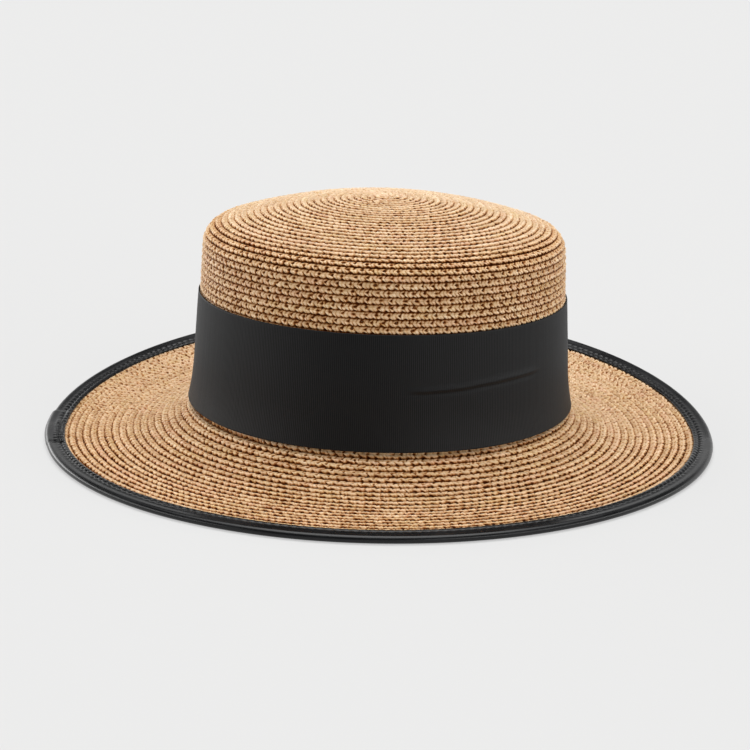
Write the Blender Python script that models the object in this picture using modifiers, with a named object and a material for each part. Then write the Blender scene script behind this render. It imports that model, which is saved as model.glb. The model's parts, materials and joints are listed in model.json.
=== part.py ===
"""Straw sun hat with a flat, slightly domed crown, a wide ribbon and a bound brim.

Frame: metres, +Z up, origin on the crown's centre line in the plane the brim
rests on.  -Y is the front of the hat, +Y the back, where the ribbon and the
sweatband are joined, and +X the wearer's left.  Angles run round +Z from +X.

Every piece is first laid out on a plain round hat and then pushed onto the hat
block by one function, block(), which makes the slight oval, the small lean of
the crown and the lifted back of the brim.  Neighbouring pieces share it, so
they keep their clearances.
"""

import math

import bmesh
import bpy
import numpy as np

# ----------------------------------------------------------------------------
# driving dimensions, in metres; slopes and angles in degrees
# ----------------------------------------------------------------------------
STEPS = 72                # facets round the hat
GAP = 0.0003              # clearance between neighbouring pieces
BACK = 90.0               # angle of the hat's back
SHARP_ANGLE = 35          # edges steeper than this are shaded sharp

# straw
CROWN_H = 0.10246         # top of the crown over the head line
TIP_R = 0.0809            # radius of the domed top, up to the shoulder
DOME = 0.0134             # fall of the dome from its centre to that radius
SHOULDER_R = 0.01157      # radius of the rounded shoulder
SHOULDER_END = 86.0       # slope where the shoulder meets the wall
BAND_TOP_R = 0.08998      # straw radius at the ribbon's upper edge
BAND_H = 0.0548           # height of the ribbon
HEAD_R = 0.0931           # straw radius at the head line
BRIM_EDGE_R = 0.1668      # outer radius of the bound brim
STRAW_T = 0.0018          # thickness of the sewn braid
TIP_BACK = 0.0105         # the top disc ends this far before the wall
COLLAR = 0.0045           # the brim starts this far above the head line
BRIM_SHORT = 0.0030       # the straw ends this far inside the brim's edge

# hat block
OVAL = 0.0008             # half the difference between side and front radius
OVAL_FULL_R = 0.08        # radius from which the oval is complete
LEAN = 0.012              # lean of the crown towards +X, as a slope
LEAN_FADE = 0.86          # share of the brim over which the lean dies out
LIFT = 0.01824            # rise of the brim at the back
LIFT_FROM, LIFT_TO = -5.85, 183.3   # the brim is lifted between these angles
LIFT_ROUND_POWER = 1.429  # how the lift gathers round the hat
LIFT_OUT_POWER = 1.5      # how the lift grows out to the edge

# ribbon
RIBBON_T = 0.0006
RIBBON_LAP = 7.0          # degrees that each ribbon end passes the back
CLIMB_BEFORE = 6.0        # the lap starts to climb this far before the start
CLIMB_SPAN = 5.0          # and is up after this many degrees
FLARE = 0.0019            # the ribbon's lower edge stands this far off
FLARE_H = 0.0200          # and is close again at this height
TACK_R = 0.0003
TACK_L = 0.0045
TACK_IN = 1.2             # degrees from the ribbon's outer end
TACKS = (("lower", 0.006), ("upper", BAND_H - 0.0105))   # foot over the head line

# bound edge
SKIN_T = 0.0006           # thickness of the binding's skin
EDGE_H = STRAW_T + 2 * (GAP + SKIN_T)
ROLL_R = EDGE_H / 2       # outer radius of the rolled edge
FLANGE_W = 0.0095         # width of the binding's upper flange
UNDER_W = 0.0090          # width of its lower flange
STITCH_IN = 0.0068        # distance of the stitch line from the brim's edge
GROOVE = 0.00015          # depth of the stitch groove
GROOVE_HALF = 0.0006      # half its width
THREAD_R = 0.00022
THREAD_CLEAR = 0.00018    # gap between the groove and the thread
WIRE_R = 0.0004
WIRE_OPEN = 0.25          # degrees from the back to each wire end
FERRULE_R, FERRULE_BORE, FERRULE_L = 0.00076, 0.00058, 0.008
BORE_EXTRA = 0.002        # the bore cutter is this much longer
LAP_ANGLE = 185.5         # where the binding's end is lapped
LAP_LENGTH = 0.052
LAP_T = SKIN_T * 0.8
LAP_HALF = math.degrees(LAP_LENGTH / 2 / BRIM_EDGE_R)
LAP_SHORT = 0.0002        # the lap stops this far short of the flange
THREAD_RISE_MARGIN = 2.5  # degrees the thread stays raised past the lap

# sweatband
BAND_T = 0.0005           # sweatband cloth
SWEAT_UP = 0.0010         # its lower edge over the head line
SWEAT_H = 0.030
SWEAT_OPEN = 2.3          # degrees from the back to each end
HEM_H = 0.0075
CHANNEL = 0.0022          # clear width of the cord's channel
JOIN_T = 0.0004           # thickness of the tape over the joint
JOIN_HALF = 3.5           # degrees
LABEL_T = 0.0003
SEAM_UP = 0.0008          # stitch line over the sweatband's lower edge
SEAM_CLEAR = 0.0002

# sizing cord
CORD_R = 0.0008
CORD_CLEAR = 0.0004       # extra room between the cord and the hem's top
CORD_OPEN = 3.0           # degrees from the back to each end of the full run
TAIL_STEPS = 8
TAIL_TOP, TAIL_L = 0.0025, 0.0265   # top of the straight tail under the run, length
TAIL_SIDE, TAIL_SPREAD = 1.5, 1.6   # degrees off the back at its top, added below
TAIL_DEPTH = 0.0004       # how much further in the tail's end hangs
KNOT = {0: 1.1, 1: 2.0, 2: 1.1}     # relative thickness at the lowest tail points

# slope of the brim: distance along its surface from the head line, degrees
# below the horizontal
BRIM_SLOPE = [(0.0, 84.0), (0.0022, 45.5), (0.008, 32.1), (0.016, 22.9),
              (0.028, 13.4), (0.044, 2.05), (0.060, 0.0), (0.090, 0.0)]
BRIM_STEP = 0.0004        # step along the brim when its slope is summed up

# rings of the three straw pieces: shares of each stretch, and for the brim
# distances from the head line
TIP_SHARES = (0.0, 0.14, 0.28, 0.42, 0.56, 0.70, 0.82, 0.90, 0.96, 1.0)
SHOULDER_SHARES = (0.0, 0.33, 0.66, 1.0)
WALL_SHARES = (0.18, 0.42, 0.7, 1.0)
BRIM_OFFSETS = (-COLLAR, -0.0006, 0.0012, 0.0035, 0.008, 0.015, 0.024,
                0.034, 0.044, 0.058)


# ----------------------------------------------------------------------------
# the straw's outer profile as a function of the distance along it
# ----------------------------------------------------------------------------
def profile_table():
    """Distance, radius and height of the straw's outer surface, from the
    crown's centre to the brim's edge, and the indices where the wall and the
    brim begin."""
    # dome, with heights counted from the head line for now
    dome = np.linspace(0.0, TIP_R, 60)
    radii = list(dome)
    heights = list(CROWN_H - DOME * (dome / TIP_R) ** 2)

    # shoulder
    start = math.atan(2 * DOME / TIP_R)
    top = heights[-1]
    for slope in np.linspace(start, math.radians(SHOULDER_END), 20)[1:]:
        radii.append(TIP_R + SHOULDER_R * (math.sin(slope) - math.sin(start)))
        heights.append(top - SHOULDER_R * (math.cos(start) - math.cos(slope)))
    wall = len(radii) - 1

    # wall, above and behind the ribbon
    for end_radius, end_height in ((BAND_TOP_R, BAND_H), (HEAD_R, 0.0)):
        radius, height = radii[-1], heights[-1]
        for share in np.linspace(0, 1, 20)[1:]:
            radii.append(radius + (end_radius - radius) * share)
            heights.append(height + (end_height - height) * share)
    head = len(radii) - 1

    # brim
    distances, slopes = zip(*BRIM_SLOPE)
    along = 0.0
    while radii[-1] < BRIM_EDGE_R - 1e-9:
        slope = math.radians(np.interp(along + BRIM_STEP / 2, distances, slopes))
        step = min(BRIM_STEP, (BRIM_EDGE_R - radii[-1]) / math.cos(slope))
        radii.append(radii[-1] + step * math.cos(slope))
        heights.append(heights[-1] - step * math.sin(slope))
        along += step

    radii, heights = np.array(radii), np.array(heights)
    # at the edge the straw's top lies one gap under the binding's upper skin
    heights += (EDGE_H - SKIN_T - GAP) - heights[-1]
    lengths = np.hypot(np.diff(radii), np.diff(heights))
    return np.concatenate([[0], np.cumsum(lengths)]), radii, heights, wall, head


PATH, PATH_R, PATH_Z, WALL_INDEX, HEAD_INDEX = profile_table()
WALL_AT, HEAD_AT, EDGE_AT = PATH[WALL_INDEX], PATH[HEAD_INDEX], PATH[-1]
HEAD_Z = float(PATH_Z[HEAD_INDEX])     # height of the head line


def on_profile(distance, depth=0.0):
    """(r, z) at this distance along the profile, depth metres inside the straw."""
    reach = 4e-4          # half the stretch that gives the local direction
    ends = [max(distance - reach, 0.0), min(distance + reach, EDGE_AT)]
    run = float(np.diff(np.interp(ends, PATH, PATH_R))[0])
    rise = float(np.diff(np.interp(ends, PATH, PATH_Z))[0])
    length = math.hypot(run, rise)
    r = float(np.interp(distance, PATH, PATH_R)) + depth * rise / length
    z = float(np.interp(distance, PATH, PATH_Z)) - depth * run / length
    return max(r, 0.0), z


def wall_radius(z):
    """Outer straw radius of the crown wall at height z."""
    wall = slice(WALL_INDEX, HEAD_INDEX + 1)
    return float(np.interp(-z, -PATH_Z[wall], PATH_R[wall]))


def inside(z, depth):
    """(r, z) at this depth inside the wall's outer surface."""
    return (wall_radius(z) - depth, z)


# ----------------------------------------------------------------------------
# the hat block
# ----------------------------------------------------------------------------
def ease(share):
    share = min(max(share, 0.0), 1.0)
    return share * share * (3 - 2 * share)


def brim_share(radius):
    """0 on the crown, 1 at the brim's edge."""
    shares = (PATH[HEAD_INDEX:] - HEAD_AT) / (EDGE_AT - HEAD_AT)
    return float(np.interp(radius, PATH_R[HEAD_INDEX:], shares))


def lift_share(angle):
    """Share of LIFT at this angle, 0 round nearly all of the front half."""
    degrees = math.degrees(angle) % 360.0
    if degrees > 270.0:
        degrees -= 360.0
    share = (degrees - LIFT_FROM) / (LIFT_TO - LIFT_FROM)
    return math.sin(math.pi * share) ** LIFT_ROUND_POWER if 0.0 < share < 1.0 else 0.0


def block(x, y, z):
    """The place on the finished hat of a point of the plain round hat."""
    radius, angle = math.hypot(x, y), math.atan2(y, x)
    share = brim_share(radius)
    lean = LEAN * (1.0 - ease(share / LEAN_FADE))
    oval = OVAL * min(1.0, radius / OVAL_FULL_R)
    oval_x = (radius + oval) * math.cos(angle)
    oval_y = (radius - oval) * math.sin(angle)
    lifted = z + LIFT * lift_share(angle) * share ** LIFT_OUT_POWER
    return (oval_x + lean * (z - HEAD_Z), oval_y, lifted - lean * oval_x)


def on_hat(radius, angle, z):
    """block() for a point given by radius, angle in radians and height."""
    return block(radius * math.cos(angle), radius * math.sin(angle), z)


def facet_angles(start, stop):
    """Radians from start to stop, in degrees, through the facets' angles."""
    step = 360.0 / STEPS
    facets = [k * step for k in range(math.floor(start / step) + 1,
                                      math.ceil(stop / step))]
    # a facet too close to either end is left out
    facets = [degrees for degrees in facets if start + 0.2 < degrees < stop - 0.2]
    return [math.radians(degrees) for degrees in [start, *facets, stop]]


def round_from_back(opening):
    """Angles once round, starting and ending this many degrees off the back."""
    return facet_angles(BACK + opening, BACK + 360.0 - opening)


FULL_RING = [2 * math.pi * k / STEPS for k in range(STEPS)]


# ----------------------------------------------------------------------------
# scene and materials
# ----------------------------------------------------------------------------
for old in list(bpy.data.objects):
    bpy.data.objects.remove(old)

HAT = bpy.data.collections.new("straw_sun_hat")
CUTTERS = bpy.data.collections.new("cutters")
bpy.context.scene.collection.children.link(HAT)
bpy.context.scene.collection.children.link(CUTTERS)


def material(name, colour, roughness, metallic=0.0):
    made = bpy.data.materials.new(name)
    made.use_nodes = True
    shader = made.node_tree.nodes["Principled BSDF"]
    shader.inputs["Base Color"].default_value = (*colour, 1.0)
    shader.inputs["Roughness"].default_value = roughness
    shader.inputs["Metallic"].default_value = metallic
    return made


STRAW = material("paper_straw", colour=(0.55, 0.34, 0.16), roughness=0.75)
RIBBON = material("ribbon", colour=(0.012, 0.012, 0.013), roughness=0.45)
SKIN = material("coated_leather", colour=(0.02, 0.02, 0.021), roughness=0.38)
THREAD = material("black_thread", colour=(0.01, 0.01, 0.011), roughness=0.7)
STEEL = material("spring_steel", colour=(0.55, 0.55, 0.56), roughness=0.3, metallic=1.0)
TAPE = material("tan_tape", colour=(0.50, 0.38, 0.24), roughness=0.85)
CORD = material("tan_cord", colour=(0.42, 0.30, 0.18), roughness=0.8)
LABEL = material("white_label", colour=(0.80, 0.79, 0.76), roughness=0.6)


# ----------------------------------------------------------------------------
# ways of making a solid
# ----------------------------------------------------------------------------
def shade(mesh):
    mesh.shade_smooth()
    mesh.set_sharp_from_angle(angle=math.radians(SHARP_ANGLE))


def add(name, mesh, mat):
    """Put a mesh in the hat as a named object, welded and facing out."""
    work = bmesh.new()
    work.from_mesh(mesh)
    bmesh.ops.remove_doubles(work, verts=work.verts, dist=1e-6)
    bmesh.ops.recalc_face_normals(work, faces=work.faces)
    if work.calc_volume(signed=True) < 0:
        bmesh.ops.reverse_faces(work, faces=work.faces)
    work.to_mesh(mesh)
    work.free()
    mesh.name = name
    mesh.materials.append(mat)
    HAT.objects.link(bpy.data.objects.new(name, mesh))
    shade(mesh)


def turned(name, section, mat):
    """An (r, z) section turned right round +Z and set on the hat block.  The
    section is closed, unless both its ends lie on the axis."""
    mesh = bpy.data.meshes.new(name + "_section")
    count = len(section)
    closed = section[0][0] > 1e-9 or section[-1][0] > 1e-9
    edges = [(i, (i + 1) % count) for i in range(count if closed else count - 1)]
    mesh.from_pydata([(r, 0.0, z) for r, z in section], edges, [])
    source = bpy.data.objects.new(name + "_section", mesh)
    HAT.objects.link(source)
    screw = source.modifiers.new("Screw", "SCREW")
    screw.axis = "Z"
    screw.angle = 2 * math.pi
    screw.steps = screw.render_steps = STEPS
    screw.use_merge_vertices = True
    screw.merge_threshold = 0.00001
    bpy.context.view_layer.update()
    graph = bpy.context.evaluated_depsgraph_get()
    solid = bpy.data.meshes.new_from_object(source.evaluated_get(graph))
    bpy.data.objects.remove(source)
    bpy.data.meshes.remove(mesh)
    for vertex in solid.vertices:
        vertex.co = block(*vertex.co)
    add(name, solid, mat)


def strip(name, section_at, angles, mat):
    """A loft round the hat: section_at(angle) is a closed (r, z) section, and
    the two ends are capped."""
    work = bmesh.new()
    rings = [[work.verts.new(on_hat(r, angle, z)) for r, z in section_at(angle)]
             for angle in angles]
    count = len(rings[0])
    for one, two in zip(rings, rings[1:]):
        for i in range(count):
            j = (i + 1) % count
            work.faces.new((one[i], one[j], two[j], two[i]))
    work.faces.new(rings[0][::-1])
    work.faces.new(rings[-1])
    mesh = bpy.data.meshes.new(name)
    work.to_mesh(mesh)
    work.free()
    add(name, mesh, mat)


def tube(name, points, radius, mat, cyclic=False, scales=None):
    """A thread, wire or cord: a poly curve with a bevel, capped if open."""
    curve = bpy.data.curves.new(name, "CURVE")
    curve.dimensions = "3D"
    curve.bevel_depth = radius
    # threads are thin enough for the coarsest bevel
    curve.bevel_resolution = 2 if radius > 0.0003 else 0
    curve.use_fill_caps = not cyclic
    spline = curve.splines.new("POLY")
    spline.points.add(len(points) - 1)
    for point, place, scale in zip(spline.points, points, scales or [1.0] * len(points)):
        point.co = (*place, 1.0)
        point.radius = scale
    spline.use_cyclic_u = cyclic
    curve.materials.append(mat)
    HAT.objects.link(bpy.data.objects.new(name, curve))


def cylinder(name, radius, length, place, collection):
    """A cylinder lying along X."""
    bpy.ops.mesh.primitive_cylinder_add(vertices=16, radius=radius, depth=length,
                                        end_fill_type="NGON", location=place,
                                        rotation=(0.0, math.radians(90), 0.0))
    made = bpy.context.object
    made.name = made.data.name = name
    for other in list(made.users_collection):
        other.objects.unlink(made)
    collection.objects.link(made)
    return made


# ----------------------------------------------------------------------------
# the braid: top disc, wall and brim
# ----------------------------------------------------------------------------
def between(start, end, shares):
    return [start + (end - start) * share for share in shares]


def straw_sheet(name, stations):
    """One thickness of straw through these distances along the profile."""
    outer = [on_profile(station) for station in stations]
    inner = [on_profile(station, STRAW_T) for station in stations]
    turned(name, outer + inner[::-1], STRAW)


def build_straw():
    tip_end = WALL_AT - TIP_BACK
    wall_end = HEAD_AT - COLLAR - GAP
    straw_sheet("crown_tip", between(0.0, tip_end, TIP_SHARES))
    straw_sheet("crown_side", between(tip_end + GAP, WALL_AT, SHOULDER_SHARES)
                + between(WALL_AT, wall_end, WALL_SHARES))
    straw_sheet("brim", [HEAD_AT + offset for offset in BRIM_OFFSETS]
                + [EDGE_AT - BRIM_SHORT])


# ----------------------------------------------------------------------------
# the ribbon: one strip, its end lapped over its start at the back
# ----------------------------------------------------------------------------
def flare(z):
    """How far the ribbon's lower part stands off the crown."""
    return FLARE * max(0.0, 1.0 - (z - HEAD_Z) / FLARE_H) ** 2


def ribbon_section(angle):
    # the end climbs over the start by one thickness and one gap
    climb_from = BACK - RIBBON_LAP + 360.0 - CLIMB_BEFORE
    climb = ease((math.degrees(angle) - climb_from) / CLIMB_SPAN) * (RIBBON_T + GAP)
    heights = [HEAD_Z + up for up in (0.0, 0.005, 0.011, FLARE_H, BAND_H)]
    inner = [(wall_radius(z) + GAP + flare(z) + climb, z) for z in heights]
    outer = [(r + RIBBON_T, z) for r, z in inner]
    return outer + inner[::-1]


def build_ribbon():
    strip("hatband_ribbon", ribbon_section, round_from_back(-RIBBON_LAP), RIBBON)
    # short upright stitches on the lapped end
    angle = math.radians(BACK + RIBBON_LAP - TACK_IN)
    off_wall = 2 * RIBBON_T + 3 * GAP + TACK_R
    for label, foot in TACKS:
        heights = [HEAD_Z + foot + TACK_L * k / 3 for k in range(4)]
        points = [on_hat(wall_radius(z) + flare(z) + off_wall, angle, z) for z in heights]
        tube("hatband_tack_" + label, points, TACK_R, THREAD)


# ----------------------------------------------------------------------------
# the bound edge
# ----------------------------------------------------------------------------
def at_edge(inward, z):
    return (BRIM_EDGE_R - inward, z)


def roll_arc(radius, turns):
    """Points round the rolled edge's centre: 0 degrees is outward, 90 up."""
    return [at_edge(ROLL_R - radius * math.cos(turn), ROLL_R + radius * math.sin(turn))
            for turn in map(math.radians, turns)]


def binding_section():
    """A C-shaped section: lower flange, rolled edge, grooved upper flange."""
    turns = range(-90, 91, 30)
    return [at_edge(UNDER_W, SKIN_T), at_edge(UNDER_W, 0.0),
            *roll_arc(ROLL_R, turns),
            at_edge(STITCH_IN - GROOVE_HALF, EDGE_H),
            at_edge(STITCH_IN, EDGE_H - GROOVE),
            at_edge(STITCH_IN + GROOVE_HALF, EDGE_H),
            at_edge(FLANGE_W, EDGE_H), at_edge(FLANGE_W, EDGE_H - SKIN_T),
            *roll_arc(ROLL_R - SKIN_T, turns[::-1])]


def lap_section(_angle):
    """A second layer over the edge and the upper flange only."""
    turns = (-42, -15, 15, 45, 90)
    layers = [roll_arc(ROLL_R + rise, turns) + [at_edge(FLANGE_W - LAP_SHORT, EDGE_H + rise)]
              for rise in (GAP + LAP_T, GAP)]
    return layers[0] + layers[1][::-1]


def edge_thread_z(angle):
    """The thread lies over the groove, and climbs over the lapped end."""
    over = abs(math.degrees(angle) - LAP_ANGLE) < LAP_HALF + THREAD_RISE_MARGIN
    z = EDGE_H - GROOVE + THREAD_CLEAR + THREAD_R
    return z + (GAP + LAP_T + GROOVE if over else 0.0)


def build_binding():
    turned("brim_binding", binding_section(), SKIN)
    strip("binding_lap", lap_section,
          facet_angles(LAP_ANGLE - LAP_HALF, LAP_ANGLE + LAP_HALF), SKIN)
    tube("binding_stitching",
         [on_hat(BRIM_EDGE_R - STITCH_IN, angle, edge_thread_z(angle))
          for angle in FULL_RING],
         THREAD_R, THREAD, cyclic=True)


def in_roll(angle):
    """The centre of the rolled edge at this angle."""
    return on_hat(BRIM_EDGE_R - ROLL_R, angle, ROLL_R)


def build_wire():
    """The wire in the rolled edge, and the ferrule over its two ends."""
    tube("brim_wire", [in_roll(angle) for angle in round_from_back(WIRE_OPEN)],
         WIRE_R, STEEL)
    joint = in_roll(math.radians(BACK))
    ferrule = cylinder("wire_ferrule", FERRULE_R, FERRULE_L, joint, HAT)
    ferrule.data.materials.append(STEEL)
    bore = cylinder("ferrule_bore", FERRULE_BORE, FERRULE_L + BORE_EXTRA, joint, CUTTERS)
    bore.hide_render = True
    bore.display_type = "WIRE"
    cut = ferrule.modifiers.new("bore", "BOOLEAN")
    cut.operation = "DIFFERENCE"
    cut.solver = "EXACT"
    cut.object = bore
    shade(ferrule.data)


# ----------------------------------------------------------------------------
# the inside: sweatband with a corded hem, its joint, thread and labels
# ----------------------------------------------------------------------------
SWEAT_LOW = HEAD_Z + SWEAT_UP
SWEAT_TOP = SWEAT_LOW + SWEAT_H
HEM_LOW = SWEAT_TOP - HEM_H

# depths inside the straw's outer surface
SWEAT_NEAR = STRAW_T + 2 * GAP                   # side facing the straw
SWEAT_FAR = SWEAT_NEAR + CHANNEL + 2 * BAND_T    # side facing the head

# (height, depth) of the long leg's face towards the head, from the bottom up
LEG_FACE = [(SWEAT_LOW, SWEAT_NEAR + BAND_T + 0.0001),
            (SWEAT_LOW + 0.006, SWEAT_NEAR + 2 * BAND_T + 0.0002),
            (HEM_LOW - 0.004, SWEAT_FAR)]

# patches on that face: name, lower and upper edge over the sweatband's lower
# edge, thickness, first and last angle in degrees, material
PATCHES = [
    ("sweatband_join_tape", 0.0022, 0.0170, JOIN_T, BACK - JOIN_HALF, BACK + JOIN_HALF, TAPE),
    ("size_label", 0.0045, 0.0165, LABEL_T, 99.0, 113.0, LABEL),
    ("care_label", 0.0045, 0.0255, LABEL_T, 62.0, 71.0, LABEL),
]


def sweatband_section(_angle):
    """An upside-down U: the leg towards the head runs down almost to the head
    line, the leg towards the straw is the short turned-back hem, and the
    cord's channel is between them."""
    return [inside(HEM_LOW, SWEAT_NEAR), inside(HEM_LOW, SWEAT_NEAR + BAND_T),
            inside(SWEAT_TOP - BAND_T, SWEAT_NEAR + BAND_T),
            inside(SWEAT_TOP - BAND_T, SWEAT_FAR - BAND_T),
            *[inside(z, depth - BAND_T) for z, depth in reversed(LEG_FACE)],
            *[inside(z, depth) for z, depth in LEG_FACE],
            inside(SWEAT_TOP, SWEAT_FAR), inside(SWEAT_TOP, SWEAT_NEAR)]


def leg_depth(z):
    """Depth of the long leg's face towards the head at height z."""
    heights, depths = zip(*LEG_FACE)
    return float(np.interp(z, heights, depths))


def patch_section(low, high, thickness):
    """A thin patch that follows the sweatband's face, with four rows."""
    heights = [low + (high - low) * k / 3 for k in range(4)]
    outer = [inside(z, leg_depth(z) + GAP) for z in heights]
    inner = [inside(z, leg_depth(z) + GAP + thickness) for z in heights]
    return outer + inner[::-1]


def build_sweatband():
    strip("sweatband", sweatband_section, round_from_back(SWEAT_OPEN), TAPE)
    for name, low, high, thickness, start, stop, mat in PATCHES:
        section = patch_section(SWEAT_LOW + low, SWEAT_LOW + high, thickness)
        strip(name, lambda _angle: section, facet_angles(start, stop), mat)
    z = SWEAT_LOW + SEAM_UP
    radius = HEAD_R - leg_depth(z) - SEAM_CLEAR - THREAD_R
    tube("sweatband_stitching", [on_hat(radius, angle, z) for angle in FULL_RING],
         THREAD_R, THREAD, cyclic=True)


def build_cord():
    """Tail, channel right round, tail.  The tails leave the hem through the
    open joint at the back and hang side by side inside the join tape."""
    run_z = SWEAT_TOP - BAND_T - GAP - CORD_R - CORD_CLEAR
    run_depth = SWEAT_NEAR + BAND_T + CHANNEL / 2
    hang_depth = SWEAT_FAR + 2 * GAP + JOIN_T + 2 * CORD_R

    # one tail from its lower end: depth, degrees off the back, height, scale
    tail = []
    for k in range(TAIL_STEPS + 1):
        down = 1 - k / TAIL_STEPS
        tail.append((hang_depth + TAIL_DEPTH * down, TAIL_SIDE + TAIL_SPREAD * down,
                     run_z - TAIL_TOP - TAIL_L * down, KNOT.get(k, 1.0)))
    tail += [(hang_depth, 1.25, run_z - 0.0006, 1.0),
             (run_depth + 0.0016, 1.1, run_z, 1.0),
             (run_depth + 0.0004, 1.25, run_z, 1.0),
             (run_depth, 1.75, run_z, 1.0)]

    path = [(depth, math.radians(BACK + side), z, scale) for depth, side, z, scale in tail]
    path += [(run_depth, angle, run_z, 1.0) for angle in round_from_back(CORD_OPEN)]
    path += [(depth, math.radians(BACK - side), z, scale)
             for depth, side, z, scale in reversed(tail)]
    tube("sizing_cord",
         [on_hat(wall_radius(z) - depth, angle, z) for depth, angle, z, _scale in path],
         CORD_R, CORD, scales=[scale for *_place, scale in path])


build_straw()
build_ribbon()
build_binding()
build_wire()
build_sweatband()
build_cord()
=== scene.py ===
"""A braided straw hat with a ribbon, a bound brim and a sweatband.

The hat stands on the floor, +Z up, with its axis on the origin.  Its front
faces -Y and its back +Y.  Angles run from +X towards +Y, so 90 degrees is the
middle of the back.  Pieces are laid out as round (radius, angle, z) shapes and
block() moves them to the slightly oval, leaning hat with its raised back brim.
"""

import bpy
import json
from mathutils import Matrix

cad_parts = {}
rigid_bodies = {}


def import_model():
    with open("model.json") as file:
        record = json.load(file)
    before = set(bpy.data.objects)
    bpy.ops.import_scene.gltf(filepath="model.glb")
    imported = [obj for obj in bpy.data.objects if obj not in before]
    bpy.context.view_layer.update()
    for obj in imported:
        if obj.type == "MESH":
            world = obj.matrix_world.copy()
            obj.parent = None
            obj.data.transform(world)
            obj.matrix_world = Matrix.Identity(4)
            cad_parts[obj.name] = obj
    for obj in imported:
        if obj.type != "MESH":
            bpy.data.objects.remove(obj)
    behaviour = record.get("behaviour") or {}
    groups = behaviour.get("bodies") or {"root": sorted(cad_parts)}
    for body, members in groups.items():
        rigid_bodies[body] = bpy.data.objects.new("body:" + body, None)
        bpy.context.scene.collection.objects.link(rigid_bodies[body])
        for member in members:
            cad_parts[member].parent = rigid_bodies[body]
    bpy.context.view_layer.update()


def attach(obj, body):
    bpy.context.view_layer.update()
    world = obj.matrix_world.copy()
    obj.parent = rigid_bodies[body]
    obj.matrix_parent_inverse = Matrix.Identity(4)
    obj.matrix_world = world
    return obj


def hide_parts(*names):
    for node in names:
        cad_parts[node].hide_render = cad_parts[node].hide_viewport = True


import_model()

import json
import math
from types import SimpleNamespace

import bpy
import numpy as np
from mathutils import Matrix

TAU = 2 * math.pi
MM = 1e-3
FRONT = -math.pi / 2

# ----------------------------------------------------------------------------
# the hat's dimensions (metres and degrees)
# ----------------------------------------------------------------------------
HEAD_Z = 0.01815                        # foot of the side wall, before the shift to the floor
TIP_Z = HEAD_Z + 0.10246
TIP_R, DOME = 0.0809, 0.0134            # the tip and its rise in the middle
SHOULDER_R, SHOULDER_END = 0.01157, 86.0
BAND_TOP_R, BAND_H, HEAD_R = 0.08998, 0.0548, 0.0931
BRIM_EDGE_R = 0.1668
STRAW_T = 0.0018
OVAL, LEAN = 0.0008, 0.012              # longer in X than in Y; crown leans to +X
LIFT, LIFT_FROM, LIFT_TO, LIFT_POWER = 0.01824, -5.85, 183.3, 1.429    # raised back brim
SKIN_T, EDGE_H = 0.0006, 0.0036         # binding skin and rolled edge
STITCH_IN = 0.0068                      # stitch line, in from the brim's edge
LAP_ANGLE, LAP_LENGTH = 185.5, 0.052    # lapped end of the binding, on the -X side
GAP = 0.0003                            # clearance between pieces
# distance out along the brim, slope below level in degrees
BRIM_SLOPE = [(0.0, 84.0), (0.0022, 45.5), (0.008, 32.1), (0.016, 22.9),
              (0.028, 13.4), (0.044, 2.05), (0.060, 0.0), (0.090, 0.0)]
BRIM_STEP = 0.0004


def from_zero(steps):
    """Running total of the steps, starting at 0."""
    return np.concatenate([[0], np.cumsum(steps)])


def hann(count):
    kernel = np.hanning(count)
    return kernel / kernel.sum()


def smooth(x):
    x = np.clip(x, 0.0, 1.0)
    return x * x * (3 - 2 * x)


def bell(x, width):
    return np.exp(-(x / width) ** 2)


# ----------------------------------------------------------------------------
# profile of the hat, from the centre of the tip out to the brim's edge
# ----------------------------------------------------------------------------
def profile_table():
    """Distance along the hat, radius and z, and where the wall starts and ends."""
    tip = np.linspace(0.0, TIP_R, 60)
    radius = list(tip)
    z = list(TIP_Z - DOME * (tip / TIP_R) ** 2)
    start, end = math.atan(2 * DOME / TIP_R), math.radians(SHOULDER_END)
    tip_z = z[-1]
    for turn in np.linspace(start, end, 20)[1:]:
        radius.append(TIP_R + SHOULDER_R * (math.sin(turn) - math.sin(start)))
        z.append(tip_z - SHOULDER_R * (math.cos(start) - math.cos(turn)))
    wall = len(radius) - 1
    for next_r, next_z in ((BAND_TOP_R, HEAD_Z + BAND_H), (HEAD_R, HEAD_Z)):
        last_r, last_z = radius[-1], z[-1]
        for share in np.linspace(0, 1, 20)[1:]:
            radius.append(last_r + (next_r - last_r) * share)
            z.append(last_z + (next_z - last_z) * share)
    head = len(radius) - 1
    slope_at, slopes = zip(*BRIM_SLOPE)
    along = 0.0
    while radius[-1] < BRIM_EDGE_R - 1e-9:
        slope = math.radians(np.interp(along + BRIM_STEP / 2, slope_at, slopes))
        step = min(BRIM_STEP, (BRIM_EDGE_R - radius[-1]) / math.cos(slope))
        radius.append(radius[-1] + step * math.cos(slope))
        z.append(z[-1] - step * math.sin(slope))
        along += step
    radius, z = np.array(radius), np.array(z)
    z += (EDGE_H - SKIN_T - GAP) - z[-1]
    dist = from_zero(np.hypot(np.diff(radius), np.diff(z)))
    return dist, radius, z, dist[wall], dist[head]


PROFILE_AT, PROFILE_R, PROFILE_Z, WALL_AT, HEAD_AT = profile_table()
EDGE_AT = float(PROFILE_AT[-1])
BASE_Z = float(np.interp(HEAD_AT, PROFILE_AT, PROFILE_Z))
EVEN_AT = np.linspace(0, EDGE_AT, 1600)


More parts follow.
